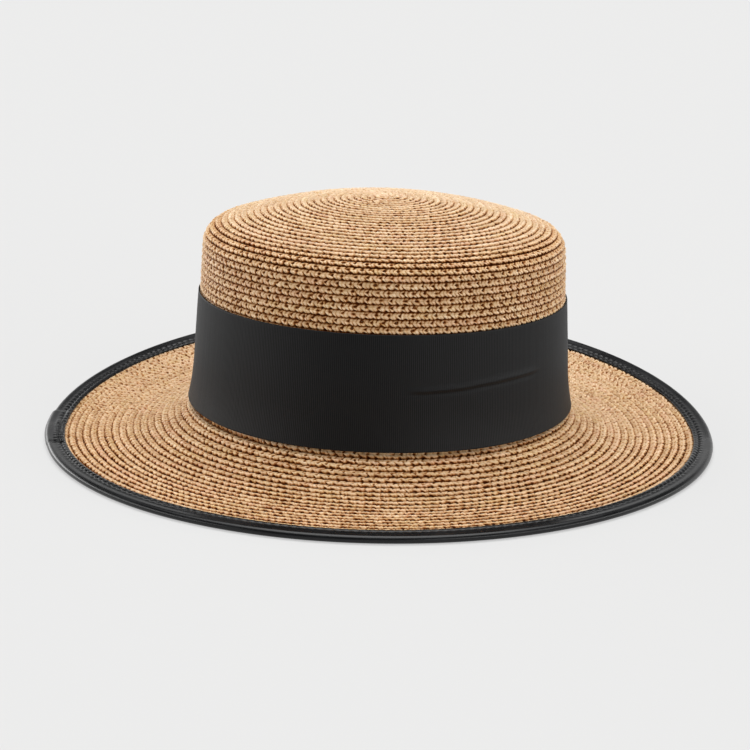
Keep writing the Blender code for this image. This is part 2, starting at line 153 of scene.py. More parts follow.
def even_profile():
    """An even, smooth copy of the profile with its outward normal."""
    radius = np.interp(EVEN_AT, PROFILE_AT, PROFILE_R)
    z = np.interp(EVEN_AT, PROFILE_AT, PROFILE_Z)
    padded_r = np.pad(radius, 6, "reflect", reflect_type="odd")
    padded_z = np.pad(z, 6, "edge")
    padded_z[:6] = z[6:0:-1]
    kernel = hann(13)
    radius = np.convolve(padded_r, kernel, "valid")
    z = np.convolve(padded_z, kernel, "valid")
    step_r, step_z = np.gradient(radius), np.gradient(z)
    size = np.hypot(step_r, step_z)
    return radius, z, -step_z / size, step_r / size


EVEN_R, EVEN_Z, NORMAL_R, NORMAL_Z = even_profile()


def profile(dist, out=0.0):
    """(radius, z) at a distance along the hat, out metres outside the straw."""
    over = np.maximum(dist - EDGE_AT, 0.0)
    dist = np.clip(dist, 0.0, EDGE_AT)
    radius = np.interp(dist, EVEN_AT, EVEN_R) + over
    z = np.interp(dist, EVEN_AT, EVEN_Z)
    return (radius + out * np.interp(dist, EVEN_AT, NORMAL_R),
            z + out * np.interp(dist, EVEN_AT, NORMAL_Z))


ON_WALL = (PROFILE_AT >= WALL_AT) & (PROFILE_AT <= HEAD_AT)
ON_BRIM = PROFILE_AT >= HEAD_AT
BRIM_R = PROFILE_R[ON_BRIM]
BRIM_SHARE = (PROFILE_AT[ON_BRIM] - HEAD_AT) / (EDGE_AT - HEAD_AT)


def wall_r(z):
    return np.interp(-z, -PROFILE_Z[ON_WALL], PROFILE_R[ON_WALL])


def lift(angle):
    """Share of the brim's lift at an angle: none at the front, most at the back."""
    degrees = np.degrees(angle) % 360.0
    degrees = np.where(degrees > 270.0, degrees - 360.0, degrees)
    share = (degrees - LIFT_FROM) / (LIFT_TO - LIFT_FROM)
    inside = (share > 0) & (share < 1)
    return np.where(inside, np.abs(np.sin(np.pi * np.clip(share, 0, 1))) ** LIFT_POWER, 0.0)


def block(radius, angle, z):
    """Round coordinates to the place on the finished hat, as an (..., 3) array."""
    radius, angle, z = np.broadcast_arrays(radius, angle, z)
    share = np.interp(radius, BRIM_R, BRIM_SHARE)
    crown = 1.0 - smooth(share / 0.86)
    oval = OVAL * np.minimum(1.0, radius / 0.08)
    x, y = (radius + oval) * np.cos(angle), (radius - oval) * np.sin(angle)
    lifted = z + LIFT * lift(angle) * share ** 1.5
    return np.stack([x + LEAN * (z - BASE_Z) * crown, y, lifted - LEAN * x * crown], -1)


# ----------------------------------------------------------------------------
# repeatable randomness; the last key or the seed tells one use from another
# ----------------------------------------------------------------------------
def hash01(*keys):
    """A repeatable random number in 0..1 for integer keys (arrays)."""
    mixed = np.zeros(np.broadcast(*keys).shape, np.uint64) + np.uint64(0x9E3779B97F4A7C15)
    for i, key in enumerate(keys):
        key = np.asarray(key).astype(np.int64).astype(np.uint64)
        mixed = mixed ^ (key + np.uint64(0x9E3779B97F4A7C15 + 977 * i))
        mixed *= np.uint64(0xBF58476D1CE4E5B9)
        mixed ^= mixed >> np.uint64(29)
        mixed *= np.uint64(0x94D049BB133111EB)
        mixed ^= mixed >> np.uint64(32)
    return (mixed >> np.uint64(11)).astype(np.float64) / float(1 << 53)


def wave(x, seed, scale):
    """Smooth repeatable 1-D noise in -1..1."""
    x = x / scale
    cell = np.floor(x)
    share = smooth(x - cell)
    return 2 * (hash01(cell, seed) * (1 - share) + hash01(cell + 1, seed) * share) - 1


# ----------------------------------------------------------------------------
# mesh helpers
# ----------------------------------------------------------------------------
LOOKS = bpy.data.collections.new("hat_looks")
bpy.context.scene.collection.children.link(LOOKS)


def grid(points, uv, lane, attrs=None, per=1, closed=False):
    """One grid of points (columns, rows, 3): columns run along the piece, and
    rows round its section, which is always closed.  The layouts uv and lane
    have one row more, for the seam, and one column more if the piece is closed
    into a ring.  per is the number of columns in a lane of the folded uv."""
    return SimpleNamespace(points=points, uv=uv, lane=lane, attrs=attrs or {}, per=per,
                           closed=closed)


def faces_of(part):
    """Quads, their corners in both layouts, and the end faces, all facing out."""
    cols, rows = part.points.shape[:2]
    col, row = np.meshgrid(np.arange(cols if part.closed else cols - 1), np.arange(rows),
                           indexing="ij")

    def corners(next_col, next_row, width):
        return np.stack([col * width + row, col * width + next_row, next_col * width + next_row,
                         next_col * width + row], -1).reshape(-1, 4)

    quads = corners((col + 1) % cols, (row + 1) % rows, rows)
    seam = corners(col + 1, row + 1, rows + 1)
    uv, lane = (layout.reshape(-1, 2)[seam] for layout in (part.uv, part.lane))
    flat = part.points.reshape(-1, 3)
    arms = flat[quads] - flat.mean(0)
    volume = sum(np.einsum("ij,ij->i", arms[:, 0], np.cross(arms[:, i], arms[:, i + 1])).sum()
                 for i in (1, 2))
    ends = []
    if not part.closed:
        ends = [np.arange(rows)[::-1], np.arange(rows) + (cols - 1) * rows]
    uv = close_lanes(uv, part.per)
    if volume < 0:
        quads, uv, lane = quads[:, ::-1], uv[:, ::-1], lane[:, ::-1]
        ends = [end[::-1] for end in ends]
    return quads, uv, lane, ends


def build(name, parts, mat, node):
    """One mesh object from grids, riding on the hat and standing for node."""
    quads, uvs, lanes, ends, end_uvs = [], [], [], [], []
    base = 0
    for part in parts:
        part_quads, uv, lane, part_ends = faces_of(part)
        quads.append(part_quads.reshape(-1) + base)
        uvs.append(uv.reshape(-1, 2))
        lanes.append(lane.reshape(-1, 2))
        for end in part_ends:
            ends.append(end + base)
            end_uvs.append(np.repeat(uv[0, :1], len(end), 0))
        base += part.points.shape[0] * part.points.shape[1]
    points = np.concatenate([part.points.reshape(-1, 3) for part in parts])
    loops = np.concatenate(quads + ends)
    quad_count = sum(len(part_quads) for part_quads in quads) // 4
    counts = np.array([4] * quad_count + [len(end) for end in ends])
    mesh = bpy.data.meshes.new(name)
    mesh.vertices.add(len(points))
    mesh.vertices.foreach_set("co", points.astype(np.float32).reshape(-1))
    mesh.loops.add(len(loops))
    mesh.loops.foreach_set("vertex_index", loops.astype(np.int32))
    mesh.polygons.add(len(counts))
    mesh.polygons.foreach_set("loop_start", (np.cumsum(counts) - counts).astype(np.int32))
    mesh.update(calc_edges=True)
    for key in parts[0].attrs:
        value = np.concatenate([np.broadcast_to(part.attrs[key], part.points.shape[:2]).reshape(-1)
                                for part in parts])
        attribute = mesh.attributes.new(key, "FLOAT", "POINT")
        attribute.data.foreach_set("value", value.astype(np.float32))
    for label, data in (("OFBake", uvs), ("lane", lanes)):
        flat = np.concatenate(data + end_uvs).astype(np.float32).reshape(-1)
        mesh.uv_layers.new(name=label).data.foreach_set("uv", flat)
    mesh.polygons.foreach_set("use_smooth", np.full(len(counts), True))
    mesh.update()
    mesh.materials.append(mat)
    obj = bpy.data.objects.new(name, mesh)
    LOOKS.objects.link(obj)
    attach(obj, "root")
    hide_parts(node)


def folded(cols, places, lanes, margin=0.03):
    """A bake layout for a long strip: its columns fold into stacked lanes.
    places are the rows' places round the section, 0 to 1."""
    per = int(math.ceil((cols - 1) / lanes))
    col = np.arange(cols)
    lane = np.minimum(col // per, lanes - 1)
    along = (col - lane * per) / (per + 1.0)
    across = (lane[:, None] + margin + (1 - 2 * margin) * np.asarray(places)[None, :]) / lanes
    return np.stack(np.broadcast_arrays(along[:, None], across), -1), per


def close_lanes(quad_uv, per):
    """Faces that would run from one lane to the next stay, narrow, in the first."""
    wide = np.ptp(quad_uv[:, :, 0], axis=1) > 0.5
    faces = quad_uv[wide]
    late = faces[:, :, 0] > 0.5
    anchor = np.where(late[:, :, None], faces, -1.0).max(1)
    stay = anchor[:, None, :] + [1.0 / (per + 1.0), 0.0]
    quad_uv[wide] = np.where(late[:, :, None], faces, stay)
    return quad_uv


def strip_part(section, angles, lanes, lane_width, attrs=None, closing_step=0.0):
    """A strip round the hat: section is (columns, rows, 2) of (radius, z).
    A closing step, the lane length of the last column, joins it into a ring."""
    loop = np.concatenate([section[0], section[0, :1]])
    places = from_zero(np.hypot(*np.diff(loop, axis=0).T))
    places = places / places[-1]
    along = (angles * section[..., 0].mean())[:, None]
    lane = np.stack(np.broadcast_arrays(along, places[None, :] * lane_width), -1)
    if closing_step:
        lane = np.concatenate([lane, lane[-1:] + [closing_step, 0.0]])
    uv, per = folded(len(lane), places, lanes)
    points = block(section[..., 0], angles[:, None], section[..., 1])
    return grid(points, uv, lane, attrs, per, closed=closing_step > 0)


def path_length(path):
    return from_zero(np.linalg.norm(np.diff(path, axis=0), axis=1))


def across_path(path):
    """Two directions across a path at each of its points."""
    tangent = np.gradient(path, axis=0)
    tangent /= np.linalg.norm(tangent, axis=1, keepdims=True)
    side = np.cross(tangent, [0.0, 0.0, 1.0])
    weak = np.linalg.norm(side, axis=1) < 0.1
    side[weak] = np.cross(tangent[weak], [1.0, 0.0, 0.0])
    side /= np.linalg.norm(side, axis=1, keepdims=True)
    return side, np.cross(side, tangent)


def tube_part(path, radius, sides, cell, twist=0.0, lobes=0, depth=0.0):
    """A round or twisted thread along a path; radius may vary along it.
    cell is its place in the bake layout: corner, width and height."""
    radius = np.broadcast_to(radius, (len(path),))[:, None]
    side, up = across_path(path)
    turn = np.linspace(0, TAU, sides, endpoint=False)[None, :]
    lobe = np.abs(np.cos(0.5 * lobes * (turn + np.reshape(twist, (-1, 1)))))
    shape = radius * (1 - depth + depth * lobe)
    points = (path[:, None, :] + (shape * np.cos(turn))[..., None] * side[:, None, :]
              + (shape * np.sin(turn))[..., None] * up[:, None, :])
    along = cell[0] + cell[2] * np.linspace(0.03, 0.97, len(path))
    around = cell[1] + cell[3] * np.linspace(0.03, 0.97, sides + 1)
    uv = np.stack(np.meshgrid(along, around, indexing="ij"), -1)
    lane = np.stack(np.meshgrid(path_length(path), around, indexing="ij"), -1)
    # the attribute holds painted shade in the grooves of a twisted thread
    return grid(points, uv, lane, {"painted_shade": 1 - shape / radius})


# ----------------------------------------------------------------------------
# node helpers
# ----------------------------------------------------------------------------
class Graph:
    """A node tree; values may be numbers, tuples or other nodes' outputs."""

    def __init__(self, tree):
        self.tree = tree

    def new(self, kind, **settings):
        node = self.tree.nodes.new(kind)
        for key, value in settings.items():
            setattr(node, key, value)
        return node

    def put(self, socket, value):
        if isinstance(value, bpy.types.NodeSocket):
            self.tree.links.new(value, socket)
        elif isinstance(value, tuple) and len(value) == 3 and socket.type == "RGBA":
            socket.default_value = (*value, 1.0)
        else:
            socket.default_value = value

    def fill(self, node, **values):
        for key, value in values.items():
            self.put(node.inputs[key.replace("_", " ")], value)

    def math(self, kind, a, b, c=0.0, clamp=False):
        node = self.new("ShaderNodeMath", operation=kind, use_clamp=clamp)
        for socket, value in zip(node.inputs, (a, b, c)):
            self.put(socket, value)
        return node.outputs[0]

    def range(self, value, span, to, kind="LINEAR"):
        node = self.new("ShaderNodeMapRange", interpolation_type=kind)
        for socket, setting in zip(node.inputs, (value, *span, *to)):
            self.put(socket, setting)
        return node.outputs[0]


class Material(Graph):
    def __init__(self, name):
        self.mat = bpy.data.materials.new(name)
        self.mat.use_nodes = True
        super().__init__(self.mat.node_tree)
        self.bsdf = self.tree.nodes["Principled BSDF"]

    def set(self, **values):
        self.fill(self.bsdf, **values)

    def attr(self, name):
        return self.new("ShaderNodeAttribute", attribute_name=name).outputs["Fac"]

    def lane(self):
        return self.new("ShaderNodeUVMap", uv_map="lane").outputs[0]

    def coords(self):
        return self.new("ShaderNodeTexCoord").outputs["Object"]

    def scaled(self, vector, scale):
        node = self.new("ShaderNodeMapping")
        self.fill(node, Vector=vector, Scale=scale)
        return node.outputs[0]

    def noise(self, vector, scale=1.0, detail=3.0, rough=0.55):
        node = self.new("ShaderNodeTexNoise")
        self.fill(node, Vector=vector, Scale=scale, Detail=detail, Roughness=rough)
        return node.outputs["Fac"]

    def bands(self, vector, direction, distortion):
        node = self.new("ShaderNodeTexWave", wave_type="BANDS", bands_direction=direction)
        self.fill(node, Vector=vector, Scale=1.0, Distortion=distortion)
        return node.outputs["Fac"]

    def ramp(self, value, stops):
        node = self.new("ShaderNodeValToRGB")
        elements = node.color_ramp.elements
        while len(elements) < len(stops):
            elements.new(0.5)
        for element, (position, colour) in zip(elements, stops):
            element.position = position
            element.color = (*colour, 1.0)
        self.put(node.inputs[0], value)
        return node.outputs[0]

    def mix(self, share, first, second, mode="MIX"):
        node = self.new("ShaderNodeMix", data_type="RGBA", blend_type=mode)
        # inputs 6 and 7 are the colour pair
        for i, value in ((0, share), (6, first), (7, second)):
            self.put(node.inputs[i], value)
        return node.outputs[2]

    def bump(self, height, strength, distance):
        node = self.new("ShaderNodeBump")
        self.fill(node, Strength=strength, Distance=distance, Height=height)
        return node.outputs[0]


def linear(*rgb):
    """sRGB 0..255 to linear."""
    shares = [level / 255.0 for level in rgb]
    return tuple(share / 12.92 if share <= 0.04045 else ((share + 0.055) / 1.055) ** 2.4
                 for share in shares)


# ----------------------------------------------------------------------------
# paper-straw braid
# ----------------------------------------------------------------------------
STRAW_DARK, STRAW_MID = linear(188, 153, 114), linear(215, 186, 151)
STRAW_LIGHT, STRAW_PALE = linear(229, 202, 169), linear(243, 223, 195)
STRAW_PINK, STRAW_GOLD = linear(217, 177, 150), linear(212, 185, 131)
STRAW_FLECK = linear(168, 112, 62)
# painted shade: darkening from open straw (0) to the deepest gap (1)
STRAW_PAINTED_SHADE = [(0.0, (1.0, 1.0, 1.0)), (0.30, (0.86, 0.73, 0.57)), (0.55, (0.60, 0.38, 0.21)),
               (0.80, (0.28, 0.12, 0.038)), (1.0, (0.11, 0.032, 0.006))]
FIBRE_GRAIN = [(0.30, (0.80, 0.79, 0.78)), (0.62, (1.06, 1.06, 1.06))]


def straw_material():
    m = Material("paper_straw_braid")
    painted_shade, tint, warm = m.attr("painted_shade"), m.attr("tint"), m.attr("warm")
    lane = m.lane()
    fibre = m.noise(m.scaled(lane, (1400.0, 5200.0, 1.0)), detail=3.0, rough=0.6)
    fleck = m.noise(m.scaled(lane, (420.0, 900.0, 1.0)), detail=4.0, rough=0.6)
    # tan to pale by tint, then pinker or more golden by warmth
    base = m.ramp(tint, [(0.0, STRAW_DARK), (0.35, STRAW_MID), (0.75, STRAW_LIGHT),
                         (1.0, STRAW_PALE)])
    pink = m.mix(m.range(warm, span=(0.60, 0.95), to=(0.0, 0.55)), base, STRAW_PINK)
    gold = m.mix(m.range(warm, span=(0.40, 0.05), to=(0.0, 0.45)), pink, STRAW_GOLD)
    grain = m.mix(1.0, gold, m.ramp(fibre, FIBRE_GRAIN), "MULTIPLY")
    flecked = m.mix(m.range(fleck, span=(0.60, 0.78), to=(0.0, 0.35)), grain, STRAW_FLECK)
    # painted shade: the colour is multiplied darker where shade falls in the gaps, tucks and holes
    m.set(Base_Color=m.mix(1.0, flecked, m.ramp(painted_shade, STRAW_PAINTED_SHADE), "MULTIPLY"))
    m.set(Roughness=m.range(fibre, span=(0.3, 0.7), to=(0.56, 0.38)))
    m.set(Specular_IOR_Level=m.range(painted_shade, span=(0.1, 0.6), to=(0.40, 0.05)))
    height = m.math("ADD", m.math("MULTIPLY", fibre, 0.6), m.math("MULTIPLY", fleck, 0.5))
    m.set(Normal=m.bump(height, strength=0.55, distance=0.00012))
    return m.mat


STRAW = straw_material()

STRAND = 0.00183          # strand pitch along the braid; the strands lie in pairs
# course numbers at the front centre line, and their distances along the hat
COURSES = [0.0, 24.37, 36.0, 53.0, 74.0]
COURSE_AT = [-0.0004, 0.0800, 0.1200, 0.1780, 0.25318]
PUNCTURE = 0.0055         # mean spacing of the sewing machine's punctures
NOTCH = 0.0058            # mean spacing of the pulled notches in the outer edge
NOTCH_SHIFT = 0.37        # share of that spacing between notches and open spots
SCALLOP = 0.17
FIRST_COURSE = -0.30


def course_number(dist):
    return float(np.interp(dist, COURSE_AT, COURSES))


def spiral_table():
    """Turn angle of the braid and its length up to there, from the centre out."""
    angle = np.arange(FIRST_COURSE * TAU, 73.35 * TAU, TAU / 360)
    dist = np.interp(angle / TAU + 0.5, COURSES, COURSE_AT)
    radius, _ = profile(np.maximum(dist, 0.0004))
    return angle, from_zero(0.5 * (radius[1:] + radius[:-1]) * np.diff(angle))


SPIRAL_ANGLE, SPIRAL_LENGTH = spiral_table()

# node, number of its braid, last course, and whether the ribbon hides it
BRAIDS = [
    ("crown_tip", 1, 16.5, False), ("crown_tip", 2, 22.5, False),
    ("crown_tip", 3, course_number(WALL_AT - 0.0105), False),
    ("crown_side", 1, 32.0, False), ("crown_side", 2, 36.9, False),
    ("crown_side", 3, course_number(HEAD_AT - 0.0045), True),
    ("brim", 0, 51.9, True), ("brim", 1, 55.4, False), ("brim", 2, 58.8, False),
    ("brim", 3, 62.0, False), ("brim", 4, 65.0, False), ("brim", 5, 67.8, False),
    ("brim", 6, 70.3, False),
    ("brim", 7, 72.03, False),     # ends inside the binding
]

# places of the rows across a course: 0 at its inner edge, 1 at its outer edge
FRONT_ROWS = [-0.26, 0.02, 0.12, 0.205, 0.33, 0.45, 0.56, 0.70, 0.86, 0.965, 1.02]
BACK_ROWS = [0.98, 0.71, 0.44, 0.14, -0.20]
HIDDEN_FRONT = [-0.26, 0.2, 0.6, 1.0]
HIDDEN_BACK = [0.98, 0.73, 0.58, 0.43, 0.28, 0.10, -0.20]
# places of the columns along a strand, by their number
PHASES = {4: [0.0, 0.20, 0.44, 0.72], 3: [0.0, 0.28, 0.64]}
LEAN_OF_STRANDS = 1.25    # strands per course width

# curves across a course: places, values
GAP_WIDTH = ([0.0, 0.20, 0.35, 0.60, 0.75, 0.86, 0.965, 1.05],
             [0.18, 0.13, 0.075, 0.070, 0.095, 0.15, 0.19, 0.20])
# heights are in millimetres off the straw's surface
TOP_HEIGHT = ([-0.30] + FRONT_ROWS[1:],
              [-1.22, -1.06, -0.84, -0.56, -0.26, -0.42, -0.06, 0.12, 0.12, -0.14, -0.86])
GAP_DIP = ([0.0] + FRONT_ROWS[2:],
           [0.15, 0.25, 0.38, 0.52, 0.36, 0.54, 0.64, 0.52, 0.40, 0.20])
BACK_HEIGHT = ([-0.22, 0.14, 0.44, 0.71, 1.0], [-1.72, -1.86, -1.62, -1.50, -1.16])
BACK_GAP = ([-0.2, 0.14, 0.44, 0.71, 1.0], [0.15, 0.20, 0.14, 0.12, 0.05])
# painted shade, 0 to 1
TOP_PAINTED_SHADE = (FRONT_ROWS, [0.92, 0.42, 0.17, 0.08, 0.05, 0.18, 0.04, 0.0, 0.02, 0.12, 0.40])
WALL_PAINTED_SHADE = ([-0.26, 0.02, 0.12, 0.205, 0.33, 0.86, 0.965, 1.02],
             [0.0, 0.46, 0.35, 0.14, 0.0, 0.0, 0.22, 0.40])
GAP_PAINTED_SHADE = (FRONT_ROWS[1:], [0.80, 0.85, 0.85, 0.72, 0.56, 0.60, 0.85, 1.15, 1.35, 1.35])
BACK_PAINTED_SHADE = ([-0.22, -0.1, 0.14, 0.44, 0.71, 1.0], [0.62, 0.15, 0.06, 0.20, 0.72, 1.0])


def nearest_mark(length, spacing, seed, jitter, shift=0.0):
    """Number of the nearest of a row of uneven marks, and millimetres from it."""
    mark = np.round(length / spacing + shift)
    place = (mark - shift + (hash01(mark, seed) - 0.5) * jitter) * spacing
    return mark, (length - place) / MM


def pit(along, along_size, across, across_size):
    return np.exp(-(along ** 2 / (2 * along_size ** 2) + across ** 2 / (2 * across_size ** 2)))


def add_marks(here):
    """Punctures with raised rings, pulled notches and open spots, as strengths."""
    across, front = here.across, ~here.back
    mark, along = nearest_mark(here.length, PUNCTURE, 9, jitter=0.30)
    depth = 0.62 + 0.62 * hash01(mark, 10)
    off = (across - 0.47 - 0.06 * (hash01(mark, 13) - 0.5)) * 3.5
    hole = depth * pit(along, 0.52, off, 0.42)
    ring = np.exp(-((np.hypot(along, off) - 1.05) ** 2) / (2 * 0.30 ** 2)) * depth
    here.hole = np.where((across > 0.10) & front, hole, 0.0)
    here.ring = np.where((across > 0.20) & front, ring, 0.0)
    # notches in the outer edge, where the braid lies flat
    mark, along = nearest_mark(here.length, NOTCH, 51, jitter=0.45)
    pull = (0.15 + 1.0 * hash01(mark, 52) ** 0.8) * here.flat * (0.34 + 0.36 * here.on_brim)
    off = (across - 0.97) * 3.5
    notch = pull * pit(along + 0.35 * off, 0.70, off, 0.36)
    here.notch = np.where((across > 0.50) & front, notch, 0.0)
    # open spots along the line under the neighbour's edge
    mark, along = nearest_mark(here.length, NOTCH, 53, jitter=0.55, shift=NOTCH_SHIFT)
    spot = (0.10 + 0.90 * hash01(mark, 54)) * here.flat * pit(along, 0.78, across - 0.05, 0.085)
    here.spot = np.where((across > -0.1) & (across < 0.5) & front, spot, 0.0)


def relief(here):
    """Height off the straw's surface in millimetres.  Each course climbs
    outwards like a lapped board, with a crease between its two rows, and ends
    in an upright edge over the next course."""
    across, pair, row = here.across, here.pair, here.row
    open_straw = (1 - here.gap) * (across > 0.16)
    height = np.interp(across, *TOP_HEIGHT)
    height = height - (here.gap + 0.42 * here.fold) * np.interp(across, *GAP_DIP)
    height = height + (hash01(pair, row + 7) - 0.5) * 0.22 * open_straw
    height = height + 0.05 * wave(here.length, seed=21, scale=0.034)
    # each pair rises towards one end, where it laps over its neighbour, and tilts
    rise = 0.06 + 0.34 * hash01(pair, row + 17)
    height = height + (here.share - 0.5) * rise * open_straw
    row_middle = np.where(row == 1, 0.70, 0.33)
    tilt = (hash01(pair, row + 19) - 0.5) * 0.7
    height = height + tilt * (across - row_middle) * open_straw
    height = height - 1.15 * here.hole + 0.13 * here.ring - 0.40 * here.notch - 0.25 * here.spot
    back = np.interp(across, *BACK_HEIGHT) + here.gap * np.interp(across, *BACK_GAP)
    return np.where(here.back, back, height)


def painted_shade_of(here):
    """Painted shade of a place: gaps, tucked edges and holes are darkened in the colour."""
    across, flat, on_brim = here.across, here.flat, here.on_brim
    # the lines between the courses of the side wall get extra painted shade
    wall = smooth((here.course - 23.6) / 1.6) * (1 - smooth((here.course - 38.0) / 2.0))
    painted_shade = np.interp(across, *TOP_PAINTED_SHADE) + wall * np.interp(across, *WALL_PAINTED_SHADE)
    tight = hash01(here.pair, here.row + 15)
    lines = here.gap * (0.26 + 1.25 * tight ** 1.4) + (0.40 + 0.35 * wall) * here.fold
    painted_shade = painted_shade + lines * np.interp(across, *GAP_PAINTED_SHADE) * (1.0 - (0.36 - 0.16 * on_brim) * flat)
    # painted shade in the punctures, a little less on their raised rings
    painted_shade = painted_shade + (1.45 - (0.75 - 0.30 * on_brim) * flat) * here.hole - 0.10 * here.ring
    # painted shade in the notches and open spots, and a little over the whole side wall and brim
    painted_shade = painted_shade + 1.05 * here.notch + 0.95 * here.spot + 0.10 * wall + 0.05 * on_brim
    back = np.interp(across, *BACK_PAINTED_SHADE) + here.gap * 0.42
    return np.clip(np.where(here.back, back, painted_shade), 0, 1)


def colours(here):
    """Lightness and warmth, varying by pair, by strand and along the braid, with painted
    highlights on the outer row and the punctures' rings and painted shade over the brim.
    """
    length, pair, row = here.length, here.pair, here.row
    own = 0.65 * hash01(pair, row) + 0.35 * hash01(here.strand, row + 23)
    tint = 0.48 + 0.60 * (own - 0.5)
    tint = tint + 0.16 * wave(length, seed=31, scale=0.012)
    tint = tint + 0.14 * wave(length, seed=32, scale=0.11)
    # painted highlight: the outer row of each course is painted lighter
    tint = tint + np.where(here.across > 0.52, 0.08, -0.02)
    # painted highlight on the raised rings round the punctures, and painted shade darkening the
    # whole brim
    tint = tint + 0.22 * here.ring - 0.18 * here.on_brim
    warm = 0.5 + 0.26 * wave(length, seed=41, scale=0.026)
    warm = warm + 0.20 * wave(length + 0.3, seed=42, scale=0.0045)
    return tint, warm + 0.36 * (hash01(pair, row + 27) - 0.5)


def braid(name, course_from, course_to, hidden, node):
    """One length of the spiral braid between two course numbers."""
    front_rows = HIDDEN_FRONT if hidden else FRONT_ROWS
    back_rows = HIDDEN_BACK if hidden else BACK_ROWS
    ends = np.interp([course_from * TAU, course_to * TAU], SPIRAL_ANGLE, SPIRAL_LENGTH)
    first, last = (int(round(end / STRAND)) for end in ends)
    phases = PHASES[3 if hidden else 4]
    strand = np.append(np.repeat(np.arange(first, last), len(phases)), last)[:, None]
    phase = np.append(np.tile(phases, last - first), 0.0)[:, None]
    across = np.array(front_rows + back_rows)[None, :]
    back = (np.arange(across.size) >= len(front_rows))[None, :]
    row = np.where(across > 0.5, 1, 0)

    # each pair: a gap before it, wider at the edges, and a shallow fold
    # half way; the outer row lies half a pair along from the inner one
    pairs = (strand + phase) / 2.0 + 0.5 * row
    pair = np.floor(pairs + 1e-6)
    share = pairs - pair
    width = np.interp(across, *GAP_WIDTH) * (0.70 + 0.75 * hash01(np.round(pairs), 8))
    gap = bell(np.minimum(share, 1 - share), width)
    fold = (0.36 + 0.60 * hash01(pair, 6) ** 1.3) * bell(share - 0.5, 0.06)
    # the two rows of strands lean opposite ways and meet in the crease
    slant = np.abs(across - 0.50) * LEAN_OF_STRANDS
    jitter = (hash01(strand, 3) - 0.5) * 0.26 * (phase != 0.0)
    jitter = jitter + 0.34 * (hash01(strand, 4) - 0.5) * (phase == 0.0)
    along = (strand + phase + slant + jitter) * STRAND
    angle = np.interp(along, SPIRAL_LENGTH, SPIRAL_ANGLE)
    length = (strand + phase + 0.6) * STRAND
    course = angle / TAU

    # the course wanders a little, and its edges are scalloped
    wander = 0.026 * wave(length, seed=11, scale=0.021)
    wander = wander + 0.018 * wave(length, seed=12, scale=0.0062)
    outer = smooth((across - 0.72) / 0.28)
    inner = smooth((0.16 - across) / 0.14) * (across > -0.1)
    own = hash01(pair, 5) - 0.5
    edge = 0.02 - gap * SCALLOP - 0.06 * fold + own * 0.06
    placed = across + wander + outer * edge + inner * gap * 0.05

    on_brim = smooth((course - 46.0) / 4.0)
    flat = 1 - smooth((course - 22.6) / 2.2) * (1 - on_brim)
    here = SimpleNamespace(across=across, back=back, row=row, strand=strand, pair=pair,
                           share=share, gap=gap, fold=fold, length=length, course=course,
                           on_brim=on_brim, flat=flat)
    add_marks(here)
    tint, warm = colours(here)
    dist = np.interp(course + placed, COURSES, COURSE_AT)
    radius, z = profile(np.clip(dist, 0.00012, EDGE_AT - 0.0030), relief(here) * MM)
    points = block(np.maximum(radius, 0.00004), FRONT + angle, z)

    # fibre lanes in metres, and the bake layout
    lane_across = (across + 0.3) * 0.0035 + back * 0.006 + 0.01 * (angle // TAU % 7)
    lane = np.stack(np.broadcast_arrays(along, lane_across), -1)
    lane = np.concatenate([lane, lane[:, :1]], 1)
    places = from_zero(np.abs(np.diff(np.append(across[0], across[0, 0]))) + 0.02)
    lanes = max(1, int(round(math.sqrt((last - first) * STRAND / 0.0085))))
    uv, per = folded(len(points), places / places[-1], lanes)
    attrs = {"painted_shade": painted_shade_of(here), "tint": tint, "warm": warm}
    build(name, [grid(points, uv, lane, attrs, per)], STRAW, node)


def braids():
    start = FIRST_COURSE
    for node, number, end, hidden in BRAIDS:
        braid("%s_braid_%d" % (node, number), start, end, hidden, node)
        start = end


braids()

# ----------------------------------------------------------------------------
# ribbon round the side wall, lapped at the back
# ----------------------------------------------------------------------------
RIBBON_T, RIBBON_LAP = 0.0006, 7.0      # the lap reaches 7 degrees to each side
FLARE, FLARE_H = 0.0019, 0.0200         # the foot stands out from the wall
RIB = 0.00093                           # pitch of the ribs
RIBBON_R = 0.0925                       # mean radius, for lengths round the ribbon
# rows up the ribbon's outside and down its inside, as shares of its height
RIBBON_ROWS = np.concatenate([
    [0.0, 0.006, 0.014, 0.021, 0.05, 0.09, 0.13, 0.18, 0.24, 0.31, 0.38, 0.43],
    np.arange(0.45, 0.605, 0.016),
    [0.63, 0.70, 0.77, 0.84, 0.90, 0.95, 0.979, 0.986, 0.994, 1.0]])
RIBBON_BACK_ROWS = np.array([1.0, 0.78, 0.5, 0.25, 0.10, 0.0])
# creases in the front half: degrees, shares of the height, relief, width
CREASES = [([-133.0, -127.4, -116.0, -107.0, -103.0],
            [0.505, 0.488, 0.489, 0.496, 0.492], 0.00040, 0.0012),
           ([-84.0, -77.5, -66.0, -60.6, -50.0, -40.9, -35.0],
            [0.500, 0.501, 0.516, 0.531, 0.545, 0.550, 0.556], 0.00055, 0.0012)]


def flare(z):
    return FLARE * np.maximum(0.0, 1.0 - (z - BASE_Z) / FLARE_H) ** 2


